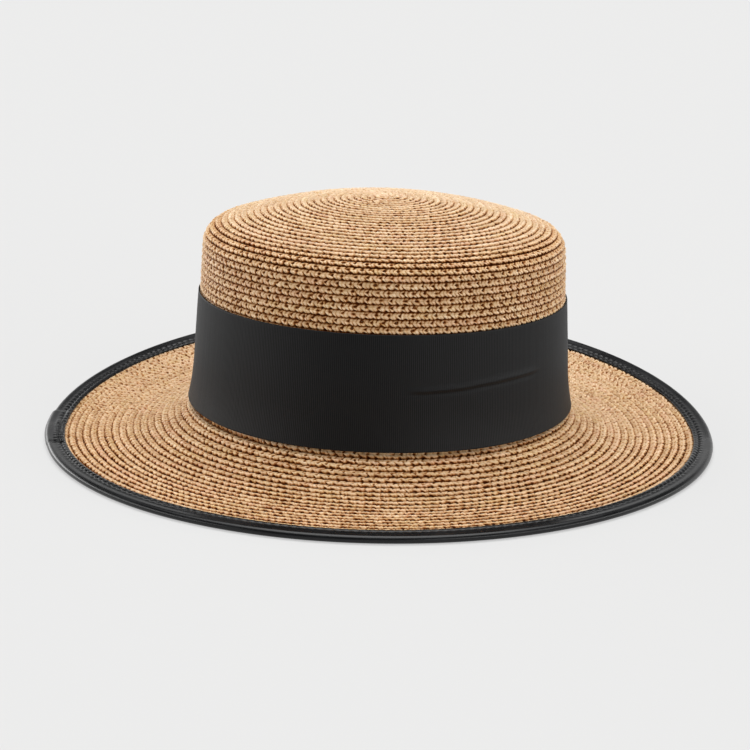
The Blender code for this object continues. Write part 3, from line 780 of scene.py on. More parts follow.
def ribbon_material():
    m = Material("ribbed_ribbon")
    rib, lane = m.attr("painted_shade"), m.lane()
    weave = m.noise(m.scaled(lane, (900.0, 9000.0, 1.0)), detail=2.0, rough=0.6)
    cloud = m.noise(m.scaled(lane, (26.0, 10.0, 1.0)), detail=3.0, rough=0.5)
    # painted shade: the rib grooves are painted darker than the ribs
    base = m.mix(rib, (0.0036, 0.0037, 0.0042), (0.0012, 0.0012, 0.0014))
    threads = m.range(weave, span=(0.35, 0.7), to=(0.0, 0.6))
    m.set(Base_Color=m.mix(threads, base, (0.0056, 0.0058, 0.0064)))
    m.set(Roughness=m.math("ADD", m.range(weave, span=(0.3, 0.7), to=(0.44, 0.56)),
                           m.math("MULTIPLY", cloud, 0.06)))
    m.set(Specular_IOR_Level=m.range(rib, span=(0.0, 1.0), to=(0.22, 0.06)))
    m.set(Normal=m.bump(weave, strength=0.35, distance=0.00006))
    return m.mat


def ribbon():
    per_rib = 4
    start, stop = math.radians(90 - RIBBON_LAP), math.radians(450 + RIBBON_LAP)
    ribs = int(round((stop - start) * RIBBON_R / RIB))
    rib = np.arange(ribs * per_rib + 1) / per_rib
    angle = start + (stop - start) * rib / ribs
    degrees = np.degrees(angle)[:, None]
    arc = (angle * RIBBON_R)[:, None]
    share = np.concatenate([RIBBON_ROWS, RIBBON_BACK_ROWS])[None, :]
    back = (np.arange(share.size) >= len(RIBBON_ROWS))[None, :]
    # the lower edge waves a little, and the upper edge less
    z = (BASE_Z + BAND_H * share + 0.00022 * wave(arc, seed=61, scale=0.055) * (1 - share)
         + 0.00010 * wave(arc, seed=62, scale=0.041) * share)
    # the far end climbs over the near one
    over = smooth((degrees - (450 - RIBBON_LAP - 6.0)) / 5.0)
    base = wall_r(z) + GAP + flare(z) + over * (RIBBON_T + GAP)
    groove = np.where(rib % 1.0 == 0.0, 1.0, 0.0)[:, None]
    edge = np.minimum(share, 1 - share)
    selvedge = 1 - smooth(edge / 0.016)
    ribbing = groove * (1 - 0.75 * selvedge)
    jitter = (hash01(np.floor(rib), 63)[:, None] - 0.5) * 0.000020
    out = RIBBON_T - 0.000036 * ribbing + jitter - 0.00014 * np.where(edge < 0.003, 1.0, 0.0)
    out = out - 0.00003 * bell(edge - 0.0175, 0.003)
    # slack in the ribbon
    belly = np.sin(np.pi * share)
    out = out + 0.00010 * (1 + wave(arc, seed=64, scale=0.060)) * belly
    out = out + 0.00007 * (1 + wave(arc + 0.11 * share, seed=65, scale=0.022)) * belly
    signed = np.where(degrees > 270.0, degrees - 360.0, degrees)
    for crease_degrees, crease_shares, height, width in CREASES:
        line = np.interp(signed, crease_degrees, crease_shares)
        ends = (smooth((signed - crease_degrees[0]) / 6.0)
                * smooth((crease_degrees[-1] - signed) / 6.0))
        off = (share - line) * BAND_H / width
        ridge, valley = np.exp(-((off - 0.9) ** 2) / 1.1), np.exp(-((off + 0.35) ** 2) / 0.35)
        out = out + height * ends * (ridge - 0.9 * valley)
    out = np.where(back, 0.00008 - 0.00002 * groove, out)
    # the rib grooves and the inside face carry painted shade
    part = strip_part(np.stack([base + out, z], -1), angle, lanes=6, lane_width=0.11,
                      attrs={"painted_shade": np.where(back, 0.2, ribbing)})
    build("hatband_ribbon_woven", [part], ribbon_material(), "hatband_ribbon")


ribbon()


# ----------------------------------------------------------------------------
# bar tacks through the ribbon's lapped end
# ----------------------------------------------------------------------------
TACK_L, TACK_ANGLE = 0.0045, math.radians(90 + RIBBON_LAP - 1.2)
TACK_WRAPS, WRAP_PITCH = 13, 0.00031
TACK_CELLS = 16           # strips in the bake layout, one for each thread


def thread_material():
    m = Material("black_sewing_thread")
    twist = m.bands(m.scaled(m.lane(), (2600.0, 2.0, 1.0)), "DIAGONAL", distortion=1.0)
    m.set(Base_Color=m.mix(twist, (0.0060, 0.0060, 0.0066), (0.020, 0.020, 0.021)))
    m.set(Roughness=m.range(twist, span=(0.0, 1.0), to=(0.62, 0.45)))
    m.set(Normal=m.bump(twist, strength=0.5, distance=0.00005))
    return m.mat


THREAD = thread_material()


def tack(label, low):
    """A few long upright threads under tight wraps."""
    def place(along, side, out):
        z = BASE_Z + low + along
        radius = wall_r(z) + flare(z) + 2 * GAP + 2 * RIBBON_T + 0.00012 + out
        return block(radius, TACK_ANGLE + side / 0.094, z)

    def cell(i):
        return 0, i / TACK_CELLS, 1, 1 / TACK_CELLS

    parts = []
    for i, side in enumerate((-0.00022, 0.0, 0.00022)):
        along = np.linspace(0.0, TACK_L, 14)
        out = 0.00016 + 0.00014 * np.sin(np.pi * along / TACK_L)
        parts.append(tube_part(place(along, side, out), 0.00011, 6, cell(i)))
    turn = np.linspace(-0.15, math.pi + 0.15, 9)
    for i in range(TACK_WRAPS):
        path = place(0.00035 + i * WRAP_PITCH + 0.00010 * np.cos(turn), 0.00052 * np.cos(turn),
                     0.00002 + 0.00036 * np.sin(turn))
        parts.append(tube_part(path, 0.00012, 6, cell(i + 3)))
    build("hatband_tack_%s_sewn" % label, parts, THREAD, "hatband_tack_" + label)


tack("lower", 0.006)
tack("upper", BAND_H - 0.0105)

# ----------------------------------------------------------------------------
# bound edge of the brim; "inward" is the distance in from the brim's edge
# ----------------------------------------------------------------------------
STITCHES = 262
STITCH_STEP = TAU / STITCHES
LAP_HALF = LAP_LENGTH / 2 / BRIM_EDGE_R
ROLL_R = EDGE_H / 2
STITCH_MM = STITCH_IN / MM
NOISE_R = 0.16            # radius that turns angles into lengths for the noise
# inward and height, in millimetres: the upper skin's relief, and the underside
TOP_RELIEF = ([1.8, 2.6, 3.9, 5.3, 6.15, 6.8, 7.4, 8.3, 9.1, 9.5],
              [0.0, 0.01, -0.08, 0.06, -0.02, -0.50, 0.00, 0.16, 0.04, -0.28])
UNDERSIDE = [(9.0, 0.30), (8.98, 0.08), (8.8, 0.0), (7.6, 0.02), (6.8, 0.06), (6.0, 0.01),
             (4.4, 0.0), (2.8, 0.0)]
# inward places, in millimetres, of the other rows of the binding and the lap
TOP_ROWS = (2.4, 3.2, 3.9, 4.6, 5.3, 5.9, 6.35, 6.62, 6.8, 6.98, 7.25, 7.7, 8.3, 8.8, 9.15,
            9.38, 9.5)
TOP_INSIDE_ROWS = (9.42, 8.4, 7.2, 6.8, 6.2, 4.6, 2.9)
LOW_INSIDE_ROWS = (3.4, 6.2, 8.8)
LAP_ROWS = np.array([2.4, 3.1, 3.9, 4.7, 5.3, 5.9, 6.35, 6.65, 6.8, 6.95, 7.3, 7.8, 8.4, 8.9,
                     9.3, 9.6])[None, :]
LAP_INNER_ROWS = [0, 3, 6, 9, 11, 13, 16, 19, 22, 25, 27]    # outer rows copied inside
PLAIN, TOP, UNDER_TOP = 0, 1, 2    # kinds of row in the binding's outline


def skin_material():
    m = Material("coated_leather_skin")
    where = m.coords()
    grain = m.new("ShaderNodeTexVoronoi", feature="DISTANCE_TO_EDGE")
    m.fill(grain, Vector=where, Scale=1700.0)
    pores = m.noise(where, scale=900.0, detail=3.0, rough=0.6)
    scuff = m.noise(where, scale=55.0, detail=4.0, rough=0.62)
    painted_skin_shade = m.attr("painted_shade")
    base = m.mix(m.range(scuff, span=(0.42, 0.75), to=(0.0, 1.0)),
                 (0.0045, 0.0047, 0.0053), (0.0085, 0.0088, 0.0098))
    # painted shade: darker along the stitch groove, at the needle holes, under the lap's cut end
    # and on hidden inside faces
    m.set(Base_Color=m.mix(m.math("MULTIPLY", painted_skin_shade, 0.85), base, (0.0015, 0.0015, 0.0017)))
    m.set(Roughness=m.math("ADD", m.range(scuff, span=(0.3, 0.75), to=(0.20, 0.30)),
                           m.math("MULTIPLY", pores, 0.06)))
    m.set(Specular_IOR_Level=m.range(painted_skin_shade, span=(0.0, 1.0), to=(0.28, 0.02)))
    height = m.math("ADD", m.math("MINIMUM", grain.outputs["Distance"], 0.12),
                    m.math("MULTIPLY", pores, 0.10))
    m.set(Normal=m.bump(height, strength=0.16, distance=0.00012))
    return m.mat


SKIN = skin_material()


def stitch_phase(angle):
    """0 at a needle hole, 1 at the next one, and the distance to the nearest."""
    phase = (angle / STITCH_STEP) % 1.0
    return phase, np.minimum(phase, 1 - phase)


def binding_top(inward, angle):
    """Relief of the binding's upper skin at this distance in from the edge."""
    x = inward / MM
    arc = angle * NOISE_R
    phase, hole = stitch_phase(angle)
    line = x - STITCH_MM
    pucker = (0.24 * bell(line, 1.25) * (0.5 - 0.5 * np.cos(TAU * phase))
              - 0.28 * bell(line, 0.7) * bell(hole, 0.14))
    tug = 0.11 * bell(x - 8.3, 0.9) * np.cos(TAU * phase + 0.8)
    loose = 0.09 * wave(arc, seed=71, scale=0.031) * bell(x - 8.8, 1.0)
    swell = 0.07 * wave(arc, seed=72, scale=0.047) * bell(x - 4.9, 1.6)
    wrinkle = 0.045 * wave(arc + 0.0009 * x, seed=73, scale=0.0031) * bell(x - 6.2, 1.5)
    return (np.interp(x, *TOP_RELIEF) + pucker + tug + loose + swell + wrinkle) * MM


def roll(radius, degrees):
    """Rows (inward, height, kind) round the rolled edge, 0 degrees outermost."""
    return [(ROLL_R - radius * math.cos(turn), ROLL_R + radius * math.sin(turn), PLAIN)
            for turn in np.radians(degrees)]


def binding():
    per_stitch = 6
    angle = np.arange(STITCHES * per_stitch) * STITCH_STEP / per_stitch
    # underside flange, edge roll, upper flange, then back along the inside
    outline = [(x * MM, z * MM, PLAIN) for x, z in UNDERSIDE]
    outline += roll(ROLL_R, np.arange(-90, 91, 15))
    outline += [(x * MM, EDGE_H, TOP) for x in TOP_ROWS]
    outline += [(x * MM, EDGE_H - SKIN_T, UNDER_TOP) for x in TOP_INSIDE_ROWS]
    outline += roll(ROLL_R - SKIN_T, np.arange(75, -91, -33))
    outline += [(x * MM, SKIN_T - 0.05 * MM, PLAIN) for x in LOW_INSIDE_ROWS]
    x, z, kind = (np.array(values)[None, :] for values in zip(*outline))
    on_top, under_top = kind == TOP, kind == UNDER_TOP
    relief_z = binding_top(x, angle[:, None])
    z = (z + np.where(on_top, relief_z, 0.0)
         + np.where(under_top, np.minimum(relief_z, 0.0) * 0.9, 0.0))
    # the flange's inner edge wanders a little
    arc = (angle * NOISE_R)[:, None]
    width = (0.16 * wave(arc, seed=75, scale=0.046) + 0.07 * wave(arc, seed=76, scale=0.012)) * MM
    x = x + np.where(on_top | under_top, smooth((x - 7.0 * MM) / (2.0 * MM)), 0.0) * width
    # the roll's face has slow dents
    x = x + 0.05 * MM * wave(arc, seed=77, scale=0.038) * (x < 2.0 * MM)
    _, hole = stitch_phase(angle[:, None])
    line = x / MM - STITCH_MM
    # painted shade along the stitch groove and at the needle holes, and over the hidden inside of
    # the upper skin
    painted_shade = 0.75 * bell(line, 0.26) + 0.35 * bell(line, 0.6) * bell(hole, 0.12)
    painted_shade = np.where(on_top, painted_shade, 0.0) + np.where(under_top, 1.0, 0.0)
    part = strip_part(np.stack([BRIM_EDGE_R - x, z], -1), angle, lanes=10, lane_width=0.030,
                      attrs={"painted_shade": np.clip(painted_shade, 0, 1)},
                      closing_step=STITCH_STEP / per_stitch * 0.163)
    build("brim_binding_skin", [part], SKIN, "brim_binding")


binding()


def lap():
    """The lapped end: a second skin over the roll and the upper flange, puckered
    where both layers are sewn together, its cut end standing off a little."""
    count = 260
    centre = math.radians(LAP_ANGLE)
    angle = np.linspace(centre - LAP_HALF, centre + LAP_HALF, count)
    share = np.linspace(0, 1, count)[:, None]
    turns = np.radians(np.linspace(-44, 90, 12))
    ends = np.minimum(share, 1 - share)
    thin = (0.50 + 0.50 * smooth(ends / 0.03)) * (1.0 - 0.90 * smooth((share - 0.30) / 0.68))
    out = (0.00010 + 0.00062 * thin) * (1.0 - 1.15 * smooth((share - 0.90) / 0.10))
    relief_z = binding_top(LAP_ROWS * MM, angle[:, None])
    # gathers across the flange, strongest where the thread draws it in
    gather = np.abs(np.sin(np.pi * (share * 17.0 + 0.55 * np.sin(11 * share)))) ** 1.4
    gather = gather * (0.42 * bell(LAP_ROWS - 7.9, 1.4) + 0.34 * bell(LAP_ROWS - 5.7, 0.8)) * MM
    gather = gather * smooth((share - 0.22) / 0.16)
    open_end = 0.55 * MM * smooth((LAP_ROWS - 7.2) / 2.2) * smooth((0.34 - share) / 0.25)
    top = EDGE_H + out + np.maximum(relief_z, -0.16 * MM) + gather + open_end
    outer_x = np.concatenate([ROLL_R - (ROLL_R + out) * np.cos(turns)[None, :],
                              np.broadcast_to(LAP_ROWS * MM, top.shape)], 1)
    outer_z = np.concatenate([ROLL_R + (ROLL_R + out) * np.sin(turns)[None, :], top], 1)
    # the sewn flange narrows towards the corner where the end is tucked in
    narrow = 0.9 * MM * smooth((share - 0.72) / 0.28)
    outer_x[:, -6:] -= narrow * np.linspace(0.1, 1.0, 6)[None, :]
    inner_x, inner_z = outer_x.copy(), outer_z.copy()
    skin = 0.05 * MM + 0.30 * MM * thin
    inner_x[:, :len(turns)] += skin * np.cos(turns)[None, :]
    inner_z[:, :len(turns)] -= skin * np.sin(turns)[None, :]
    inner_z[:, len(turns):] -= skin
    x = np.concatenate([outer_x, inner_x[:, LAP_INNER_ROWS][:, ::-1]], 1)
    z = np.concatenate([outer_z, inner_z[:, LAP_INNER_ROWS][:, ::-1]], 1)
    # painted shade: the hidden inside is dark, and the stitch line and the shadow at each cut end
    # are painted in
    painted_shade = np.full_like(x, 0.9)
    painted_shade[:, :outer_x.shape[1]] = (0.8 * bell(outer_x / MM - STITCH_MM, 0.28)
                                 + 0.5 * (1 - smooth(share / 0.012))
                                 + 0.15 * (1 - smooth((1 - share) / 0.01)))
    part = strip_part(np.stack([BRIM_EDGE_R - x, z], -1), angle, lanes=2, lane_width=0.022,
                      attrs={"painted_shade": np.clip(painted_shade, 0, 1)})
    build("binding_lap_skin", [part], SKIN, "binding_lap")


lap()


def edge_stitching():
    """Separate lockstitches, each dipping into its needle hole at both ends."""
    parts = []
    cell_rows = 3 * math.ceil(math.sqrt(STITCHES / 6.0))
    per_row = math.ceil(STITCHES / cell_rows)
    cell_h = 1 / (cell_rows + 1)
    share = np.linspace(0, 1, 9)
    bow = np.sin(np.pi * share) ** 0.6
    skews = (hash01(np.arange(STITCHES), 81) - 0.5) * 0.00016
    for i, skew in enumerate(skews):
        angle = (i + 0.07) * STITCH_STEP + STITCH_STEP * 0.86 * share
        from_lap = (i + 0.5) * STITCH_STEP - math.radians(LAP_ANGLE)
        lapped = abs((from_lap + math.pi) % TAU - math.pi) < LAP_HALF
        rise = (GAP + SKIN_T * 0.8 + 0.00018) if lapped else 0.0
        z = EDGE_H - 0.00042 + 0.00030 * bow + rise
        radius = BRIM_EDGE_R - STITCH_IN + skew * np.linspace(-1, 1, 9)
        cell = ((i % per_row) / per_row, (i // per_row) * cell_h, 1 / per_row * 0.96, cell_h)
        parts.append(tube_part(block(radius, angle, z), 0.00017 * (0.75 + 0.25 * bow), 6, cell))
    build("binding_stitching_sewn", parts, THREAD, "binding_stitching")


edge_stitching()

# ----------------------------------------------------------------------------
# sweatband inside the crown; "depth" is the distance in from the wall
# ----------------------------------------------------------------------------
CHANNEL, BAND_T, HEM_H, SWEAT_H, CORD_R = 0.0022, 0.0005, 0.0075, 0.030, 0.0008
SWEAT_LOW = BASE_Z + 0.0010
SWEAT_TOP = SWEAT_LOW + SWEAT_H
BAND_NEAR = STRAW_T + 2 * GAP                 # depths of the band's two faces
BAND_FAR = BAND_NEAR + CHANNEL + 2 * BAND_T
LEG_LOW, LEG_TOP = SWEAT_LOW + 0.006, SWEAT_TOP - HEM_H - 0.004    # sloping leg
LEG_DEPTH = BAND_NEAR + BAND_T + 0.0002       # its outer face, at its foot


def tape_material(name, dark, pale, scale):
    m = Material(name)
    lane = m.lane()
    warp, weft = (m.bands(m.scaled(lane, (scale, scale * 1.15, 1.0)), direction, distortion=0.6)
                  for direction in "XY")
    knit = m.math("MULTIPLY", warp, weft)
    fuzz = m.noise(m.coords(), scale=1500.0, detail=3.0, rough=0.6)
    slub = m.noise(m.scaled(lane, (60.0, 700.0, 1.0)), detail=3.0, rough=0.55)
    blend = m.math("ADD", m.math("MULTIPLY", knit, 0.6), m.math("MULTIPLY", slub, 0.4))
    m.set(Base_Color=m.mix(blend, dark, pale))
    m.set(Roughness=m.range(fuzz, span=(0.3, 0.7), to=(0.78, 0.92)))
    m.set(Specular_IOR_Level=0.2)
    height = m.math("ADD", knit, m.math("MULTIPLY", fuzz, 0.3))
    m.set(Normal=m.bump(height, strength=0.5, distance=0.00010))
    return m.mat


TAPE = tape_material("tan_woven_tape", dark=(0.36, 0.25, 0.145), pale=(0.57, 0.43, 0.27),
                     scale=520.0)


def inside_r(z, depth):
    return wall_r(np.maximum(z, BASE_Z)) - depth


def sweatband():
    count = 900
    angle = np.linspace(math.radians(92.3), math.radians(447.7), count)
    top, near, far = SWEAT_TOP, BAND_NEAR, BAND_FAR

    def leg(depth, shares):
        return [(LEG_LOW + (LEG_TOP - LEG_LOW) * share, depth + (CHANNEL - 0.0002) * share, 1.0)
                for share in shares]

    # (z, depth, share of the rucks): inside of the hem and leg, the foot,
    # then up the outside and over the top
    outline = [(top - HEM_H, near, 0.3), (top - HEM_H, near + BAND_T, 0.3)]
    outline += [(top - BAND_T - 0.0066 * (1 - share), near + BAND_T, 0.2)
                for share in (0.35, 0.75, 1.0)]
    outline += [(top - BAND_T, near + BAND_T + CHANNEL * 0.5, 0.0),
                (top - BAND_T, far - BAND_T, 0.0)]
    outline += [(LEG_TOP + (top - BAND_T - LEG_TOP) * share, far - BAND_T, 0.3)
                for share in (0.6, 0.2)]
    outline += leg(LEG_DEPTH, (1.0, 0.75, 0.5, 0.25, 0.0))
    outline += [(SWEAT_LOW + 0.003, near + BAND_T * 0.6, 0.3), (SWEAT_LOW, near + 0.0001, 0.1),
                (SWEAT_LOW - 0.0001, near + 0.0001 + BAND_T * 0.5, 0.1),
                (SWEAT_LOW, near + BAND_T + 0.0001, 0.1),
                (SWEAT_LOW + 0.003, near + BAND_T * 1.6, 0.3)]
    outline += leg(LEG_DEPTH + BAND_T, (0.0, 0.2, 0.4, 0.6, 0.8, 1.0))
    outline += [(LEG_TOP + (top - LEG_TOP) * share, far, 0.5) for share in (0.3, 0.6, 0.85)]
    outline += [(top - 0.0003, far - 0.00006, 0.2), (top, far - 0.0004, 0.0),
                (top, near + 0.0004, 0.0), (top - 0.0003, near + 0.00006, 0.0)]
    z, depth, free = (np.array(values)[None, :] for values in zip(*outline))
    arc = (angle * 0.09)[:, None]
    ruck = (0.00016 * wave(arc + z * 0.3, seed=91, scale=0.014)
            + 0.00020 * wave(arc, seed=92, scale=0.040))
    hem = 0.00007 * np.cos(arc / 0.0034 * TAU) * bell(z - (top - HEM_H), 0.0012)
    depth = depth + (ruck * free + hem * (depth > near + 0.002))
    section = np.stack([inside_r(z, depth), np.broadcast_to(z, depth.shape)], -1)
    part = strip_part(section, angle, lanes=5, lane_width=0.085)
    build("sweatband_woven", [part], TAPE, "sweatband")


sweatband()


def leg_depth(z):
    """Depth of the sweatband's face towards the middle of the hat."""
    return np.interp(z, [SWEAT_LOW, LEG_LOW, LEG_TOP],
                     [BAND_NEAR + BAND_T + 0.0001, LEG_DEPTH + BAND_T, BAND_FAR])


def patch(node, low, high, start, stop, thick, mat, curl=0.0):
    """A thin sewn patch on the sweatband, between two heights above its foot and
    two angles in degrees, with a stitched-down dip near each edge."""
    height = high - low
    angle = np.radians(np.linspace(start, stop, 60))
    along = np.linspace(0, 1, 60)[:, None]
    up = np.linspace(0, 1, 26)[None, :]
    z = SWEAT_LOW + low + height * up
    width = math.radians(stop - start) * 0.087
    inset = np.minimum(np.minimum(along, 1 - along) * width, np.minimum(up, 1 - up) * height)
    seam = inset - 0.0011
    dip = -0.00012 * bell(seam, 0.00035)
    dip = dip + 0.00003 * np.cos(along * width / 0.0021 * TAU) * bell(seam, 0.0005)
    bow = (curl * smooth((up - 0.55) / 0.45) * (0.6 + 0.4 * along)
           + 0.00010 * np.sin(np.pi * along) * np.sin(np.pi * up))
    soft = 0.00012 * (1 - smooth(inset / 0.00025))
    face = leg_depth(z) + GAP + thick + dip + bow - soft
    under = leg_depth(z) + GAP + bow * 0.9
    depth = np.concatenate([face, under[:, ::-1]], 1)
    z = np.broadcast_to(np.concatenate([z, z[:, ::-1]], 1), depth.shape)
    part = strip_part(np.stack([inside_r(z, depth), z], -1), angle, lanes=1,
                      lane_width=2.2 * height)
    build(node + "_woven", [part], mat, node)


patch("sweatband_join_tape", low=0.0022, high=0.0170, start=86.5, stop=93.5, thick=0.0004,
      mat=TAPE)
LABEL = tape_material("blank_woven_label", dark=(0.68, 0.67, 0.64), pale=(0.84, 0.83, 0.80),
                      scale=1500.0)
patch("size_label", low=0.0045, high=0.0165, start=99.0, stop=113.0, thick=0.0003,
      mat=LABEL)
patch("care_label", low=0.0045, high=0.0255, start=62.0, stop=71.0, thick=0.0003,
      mat=LABEL, curl=0.0009)


def sweat_stitching():
    """Stitches round the foot of the sweatband."""
    parts = []
    count, per_row = 150, 10
    z = SWEAT_LOW + 0.0008
    share = np.linspace(0, 1, 7)
    bow = np.sin(np.pi * share) ** 0.6
    radius = wall_r(BASE_Z) - leg_depth(z) - 0.00010 - 0.00024 * bow
    for i in range(count):
        angle = (i + 0.12 + 0.76 * share) * TAU / count
        cell = ((i % per_row) / per_row, (i // per_row) / 15, 0.096, 1 / 15)
        parts.append(tube_part(block(radius, angle, z), 0.00019, 6, cell))
    build("sweatband_stitching_sewn", parts, THREAD, "sweatband_stitching")


sweat_stitching()

# ----------------------------------------------------------------------------
# cord in the sweatband's hem
# ----------------------------------------------------------------------------
CORD_Z = SWEAT_TOP - BAND_T - GAP - CORD_R - 0.0004
CORD_DEPTH = BAND_NEAR + BAND_T + CHANNEL / 2
TAIL_DEPTH = BAND_FAR + 2 * GAP + 0.0004 + 2 * CORD_R
TAIL_L = 0.0265
KNOT_SIZES = [1.1, 2.0, 1.1] + [1.0] * 6    # thickness up the tail, in cord radii


def cord_material():
    m = Material("tan_twisted_cord")
    fibre = m.noise(m.scaled(m.lane(), (900.0, 9.0, 1.0)), detail=3.0, rough=0.6)
    base = m.mix(fibre, (0.33, 0.225, 0.125), (0.52, 0.385, 0.235))
    # painted shade: the grooves between the plies are painted dark
    groove = m.math("MULTIPLY", m.attr("painted_shade"), 2.4, clamp=True)
    m.set(Base_Color=m.mix(groove, base, (0.12, 0.07, 0.03)))
    m.set(Roughness=m.range(fibre, span=(0.3, 0.7), to=(0.85, 0.7)))
    m.set(Normal=m.bump(fibre, strength=0.5, distance=0.00010))
    return m.mat


def cord():
    """A two-ply cord in the hem, its knotted tails hanging at the back."""
    # (radius, degrees from the middle of the back, z), up the tail to the hem
    tail = []
    for i in range(len(KNOT_SIZES)):
        fall = 1 - i / 8.0
        z = CORD_Z - 0.0025 - TAIL_L * fall
        tail.append((inside_r(z, TAIL_DEPTH + 0.0004 * fall), 1.5 + 1.6 * fall, z))
    tail += [(inside_r(CORD_Z, TAIL_DEPTH), 1.25, CORD_Z - 0.0006),
             (inside_r(CORD_Z, CORD_DEPTH + 0.0016), 1.1, CORD_Z),
             (inside_r(CORD_Z, CORD_DEPTH + 0.0004), 1.25, CORD_Z),
             (inside_r(CORD_Z, CORD_DEPTH), 1.75, CORD_Z)]
    sizes = KNOT_SIZES + [1.0] * 4
    ring = [(inside_r(CORD_Z, CORD_DEPTH), degrees, CORD_Z)
            for degrees in np.arange(93.0, 447.1, 3.0)]
    stations = ([(radius, 90 + side, z) for radius, side, z in tail] + ring
                + [(radius, 450 - side, z) for radius, side, z in tail[::-1]])
    sizes = np.array(sizes + [1.0] * len(ring) + sizes[::-1])
    radius, degrees, z = np.array(stations).T
    rough = block(radius, np.radians(degrees), z)
    along = path_length(rough)
    spacing = 0.0007
    length = np.linspace(0, along[-1], int(along[-1] / spacing))
    kernel = hann(7)
    path = np.stack([np.convolve(np.pad(np.interp(length, along, rough[:, i]), 3, "edge"),
                                 kernel, "valid") for i in range(3)], -1)
    # the knots are wound round, so they bulge in turns
    size = np.interp(length, along, sizes)
    bulge = 1 + 0.16 * (size - 1.0).clip(0) * np.cos(length / 0.0011 * TAU * 0.5)
    part = tube_part(path, CORD_R * size * bulge, 12, (0, 0, 1, 1),
                     twist=length / 0.0034 * TAU, lobes=2, depth=0.24)
    part.uv, part.per = folded(len(path), np.linspace(0, 1, 13), lanes=12)
    build("sizing_cord_twisted", [part], cord_material(), "sizing_cord")


cord()


def steel():
    """The wire and its ferrule are out of sight in the rolled edge, so the
    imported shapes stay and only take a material."""
    m = Material("drawn_spring_steel")
    streak = m.noise(m.scaled(m.coords(), (400.0, 400.0, 4000.0)), detail=3.0)
    m.set(Base_Color=m.mix(streak, (0.42, 0.42, 0.43), (0.62, 0.62, 0.63)))
    m.set(Metallic=1.0)
    m.set(Roughness=m.range(streak, span=(0.3, 0.7), to=(0.22, 0.40)))
    m.set(Normal=m.bump(streak, strength=0.2, distance=0.00002))
    for obj in bpy.data.objects:
        if obj.type == "MESH" and obj.name.split(".")[0] in ("brim_wire", "wire_ferrule"):
            obj.data.materials.clear()
            obj.data.materials.append(m.mat)


steel()

# ----------------------------------------------------------------------------
# floor, light and camera
# ----------------------------------------------------------------------------
FLOOR_GREY, FLOOR_GLOW = 0.225, 0.495
FLOOR_HALF, FLOOR_Z = 9.0, -0.0002


def floor():
    m = Material("studio_floor")
    speckle = m.noise(m.coords(), scale=60.0, detail=2.0)
    m.set(Base_Color=m.ramp(speckle, [(0.0, (FLOOR_GREY,) * 3), (1.0, (FLOOR_GREY * 1.01,) * 3)]))
    m.set(Roughness=0.85, Specular_IOR_Level=0.0)
    m.set(Emission_Color=(1.0, 1.0, 0.997), Emission_Strength=FLOOR_GLOW)
    mesh = bpy.data.meshes.new("studio_floor")
    corners = [(-1, -1), (1, -1), (1, 1), (-1, 1)]
    mesh.from_pydata([(x * FLOOR_HALF, y * FLOOR_HALF, FLOOR_Z) for x, y in corners],
                     [], [(0, 1, 2, 3)])
    mesh.materials.append(m.mat)
    obj = bpy.data.objects.new("studio_floor", mesh)
    bpy.context.scene.collection.objects.link(obj)


floor()

# directions of the bright areas; pairs are where each fades in or out
TOP_DIR, LEFT_DIR, RIGHT_DIR = (0.0, 0.06, 0.9982), (-0.97, 0.20, 0.0), (0.90, -0.43, 0.0)
CEILING, BACKDROP, BACKDROP_RISE = (0.76, 0.97), (0.10, 0.80), (0.26, 0.44)
SIDE, SIDE_RISE, SIDE_TOP = (0.42, 0.88), (0.04, 0.14), (0.12, 0.38)
STRENGTH = {"ambient": 0.04, "ceiling": 5.0, "backdrop": 0.85, "left": 7.4, "right": 6.8,
            "seen_by_camera": 0.83}


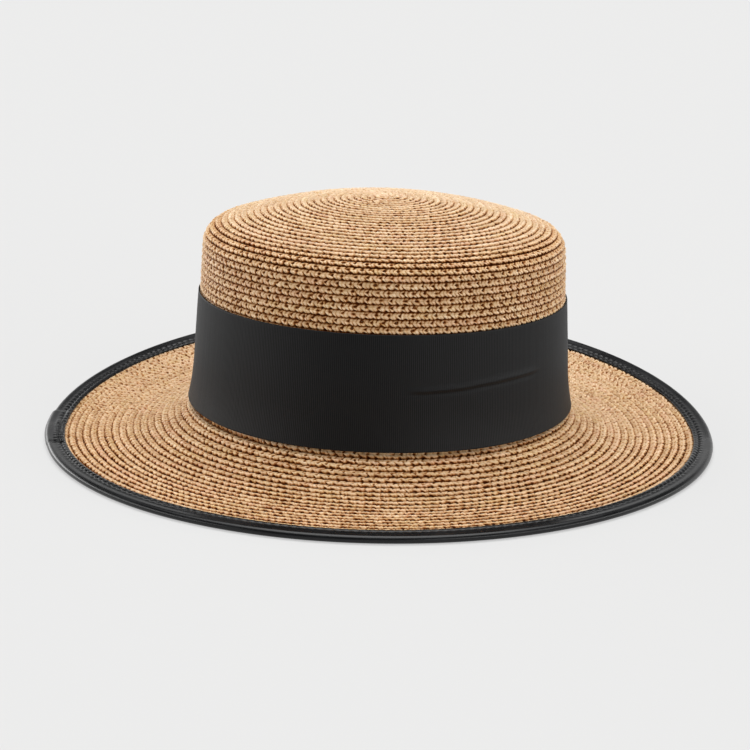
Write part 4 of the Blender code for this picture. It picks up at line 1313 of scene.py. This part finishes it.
def studio():
    """A white studio as one procedural environment: a bright ceiling, a white
    backdrop behind the hat, a soft panel at each side and a dim front."""
    world = bpy.data.worlds.new("studio")
    bpy.context.scene.world = world
    world.use_nodes = True
    sky = Graph(world.node_tree)

    def calc(kind, a, b):
        # the third input is unused and keeps Blender's default
        return sky.math(kind, a, b, c=0.5)

    def ease(value, span):
        return sky.range(value, span, to=(0.0, 1.0), kind="SMOOTHSTEP")

    coords = sky.new("ShaderNodeTexCoord")
    split = sky.new("ShaderNodeSeparateXYZ")
    sky.put(split.inputs[0], coords.outputs["Generated"])
    x, y, z = split.outputs

    def towards(direction):
        level = calc("ADD", calc("MULTIPLY", x, direction[0]), calc("MULTIPLY", y, direction[1]))
        return calc("ADD", level, calc("MULTIPLY", z, direction[2]))

    ceiling = ease(towards(TOP_DIR), CEILING)
    low = calc("SUBTRACT", 1.0, ceiling)
    backdrop = calc("MULTIPLY", ease(y, BACKDROP), calc("SUBTRACT", 1.0, ease(z, BACKDROP_RISE)))
    low = calc("MULTIPLY", calc("MULTIPLY", low, ease(z, SIDE_RISE)),
               calc("SUBTRACT", 1.0, ease(z, SIDE_TOP)))
    left = calc("MULTIPLY", ease(towards(LEFT_DIR), SIDE), low)
    right = calc("MULTIPLY", ease(towards(RIGHT_DIR), SIDE), low)
    total = STRENGTH["ambient"]
    for area, name in ((ceiling, "ceiling"), (backdrop, "backdrop"), (left, "left"),
                       (right, "right")):
        total = calc("ADD", total, calc("MULTIPLY", area, STRENGTH[name]))
    seen = sky.new("ShaderNodeLightPath").outputs["Is Camera Ray"]
    strength = calc("ADD", calc("MULTIPLY", total, calc("SUBTRACT", 1.0, seen)),
                    calc("MULTIPLY", seen, STRENGTH["seen_by_camera"]))
    sky.fill(sky.tree.nodes["Background"], Color=(1.0, 1.0, 0.995), Strength=strength)


studio()

bpy.context.scene.view_settings.view_transform = "Standard"

SENSOR_MM, LENS_MM = 36.0, 94.6687056
CAMERA_AT = (-0.002678, -0.958666, 0.298054)
CAMERA_PITCH, CAMERA_ROLL, CAMERA_YAW = 15.6833, 0.9309, 0.0032    # degrees; pitch is down


def camera():
    data = bpy.data.cameras.new("camera")
    data.sensor_fit = "HORIZONTAL"
    data.sensor_width = SENSOR_MM
    data.lens = LENS_MM
    data.clip_start, data.clip_end = 0.05, 50.0
    obj = bpy.data.objects.new("camera", data)
    bpy.context.scene.collection.objects.link(obj)
    pitch, roll_by, yaw = map(math.radians, (CAMERA_PITCH, CAMERA_ROLL, CAMERA_YAW))
    forward = np.array([math.sin(yaw) * math.cos(pitch), math.cos(yaw) * math.cos(pitch),
                        -math.sin(pitch)])
    level = np.array([math.cos(yaw), -math.sin(yaw), 0.0])
    upright = np.cross(level, forward)
    right = math.cos(roll_by) * level + math.sin(roll_by) * upright
    up = -math.sin(roll_by) * level + math.cos(roll_by) * upright
    rows = [(right[i], up[i], -forward[i], CAMERA_AT[i]) for i in range(3)]
    obj.matrix_world = Matrix(rows + [(0.0, 0.0, 0.0, 1.0)])
    bpy.context.scene.camera = obj


camera()
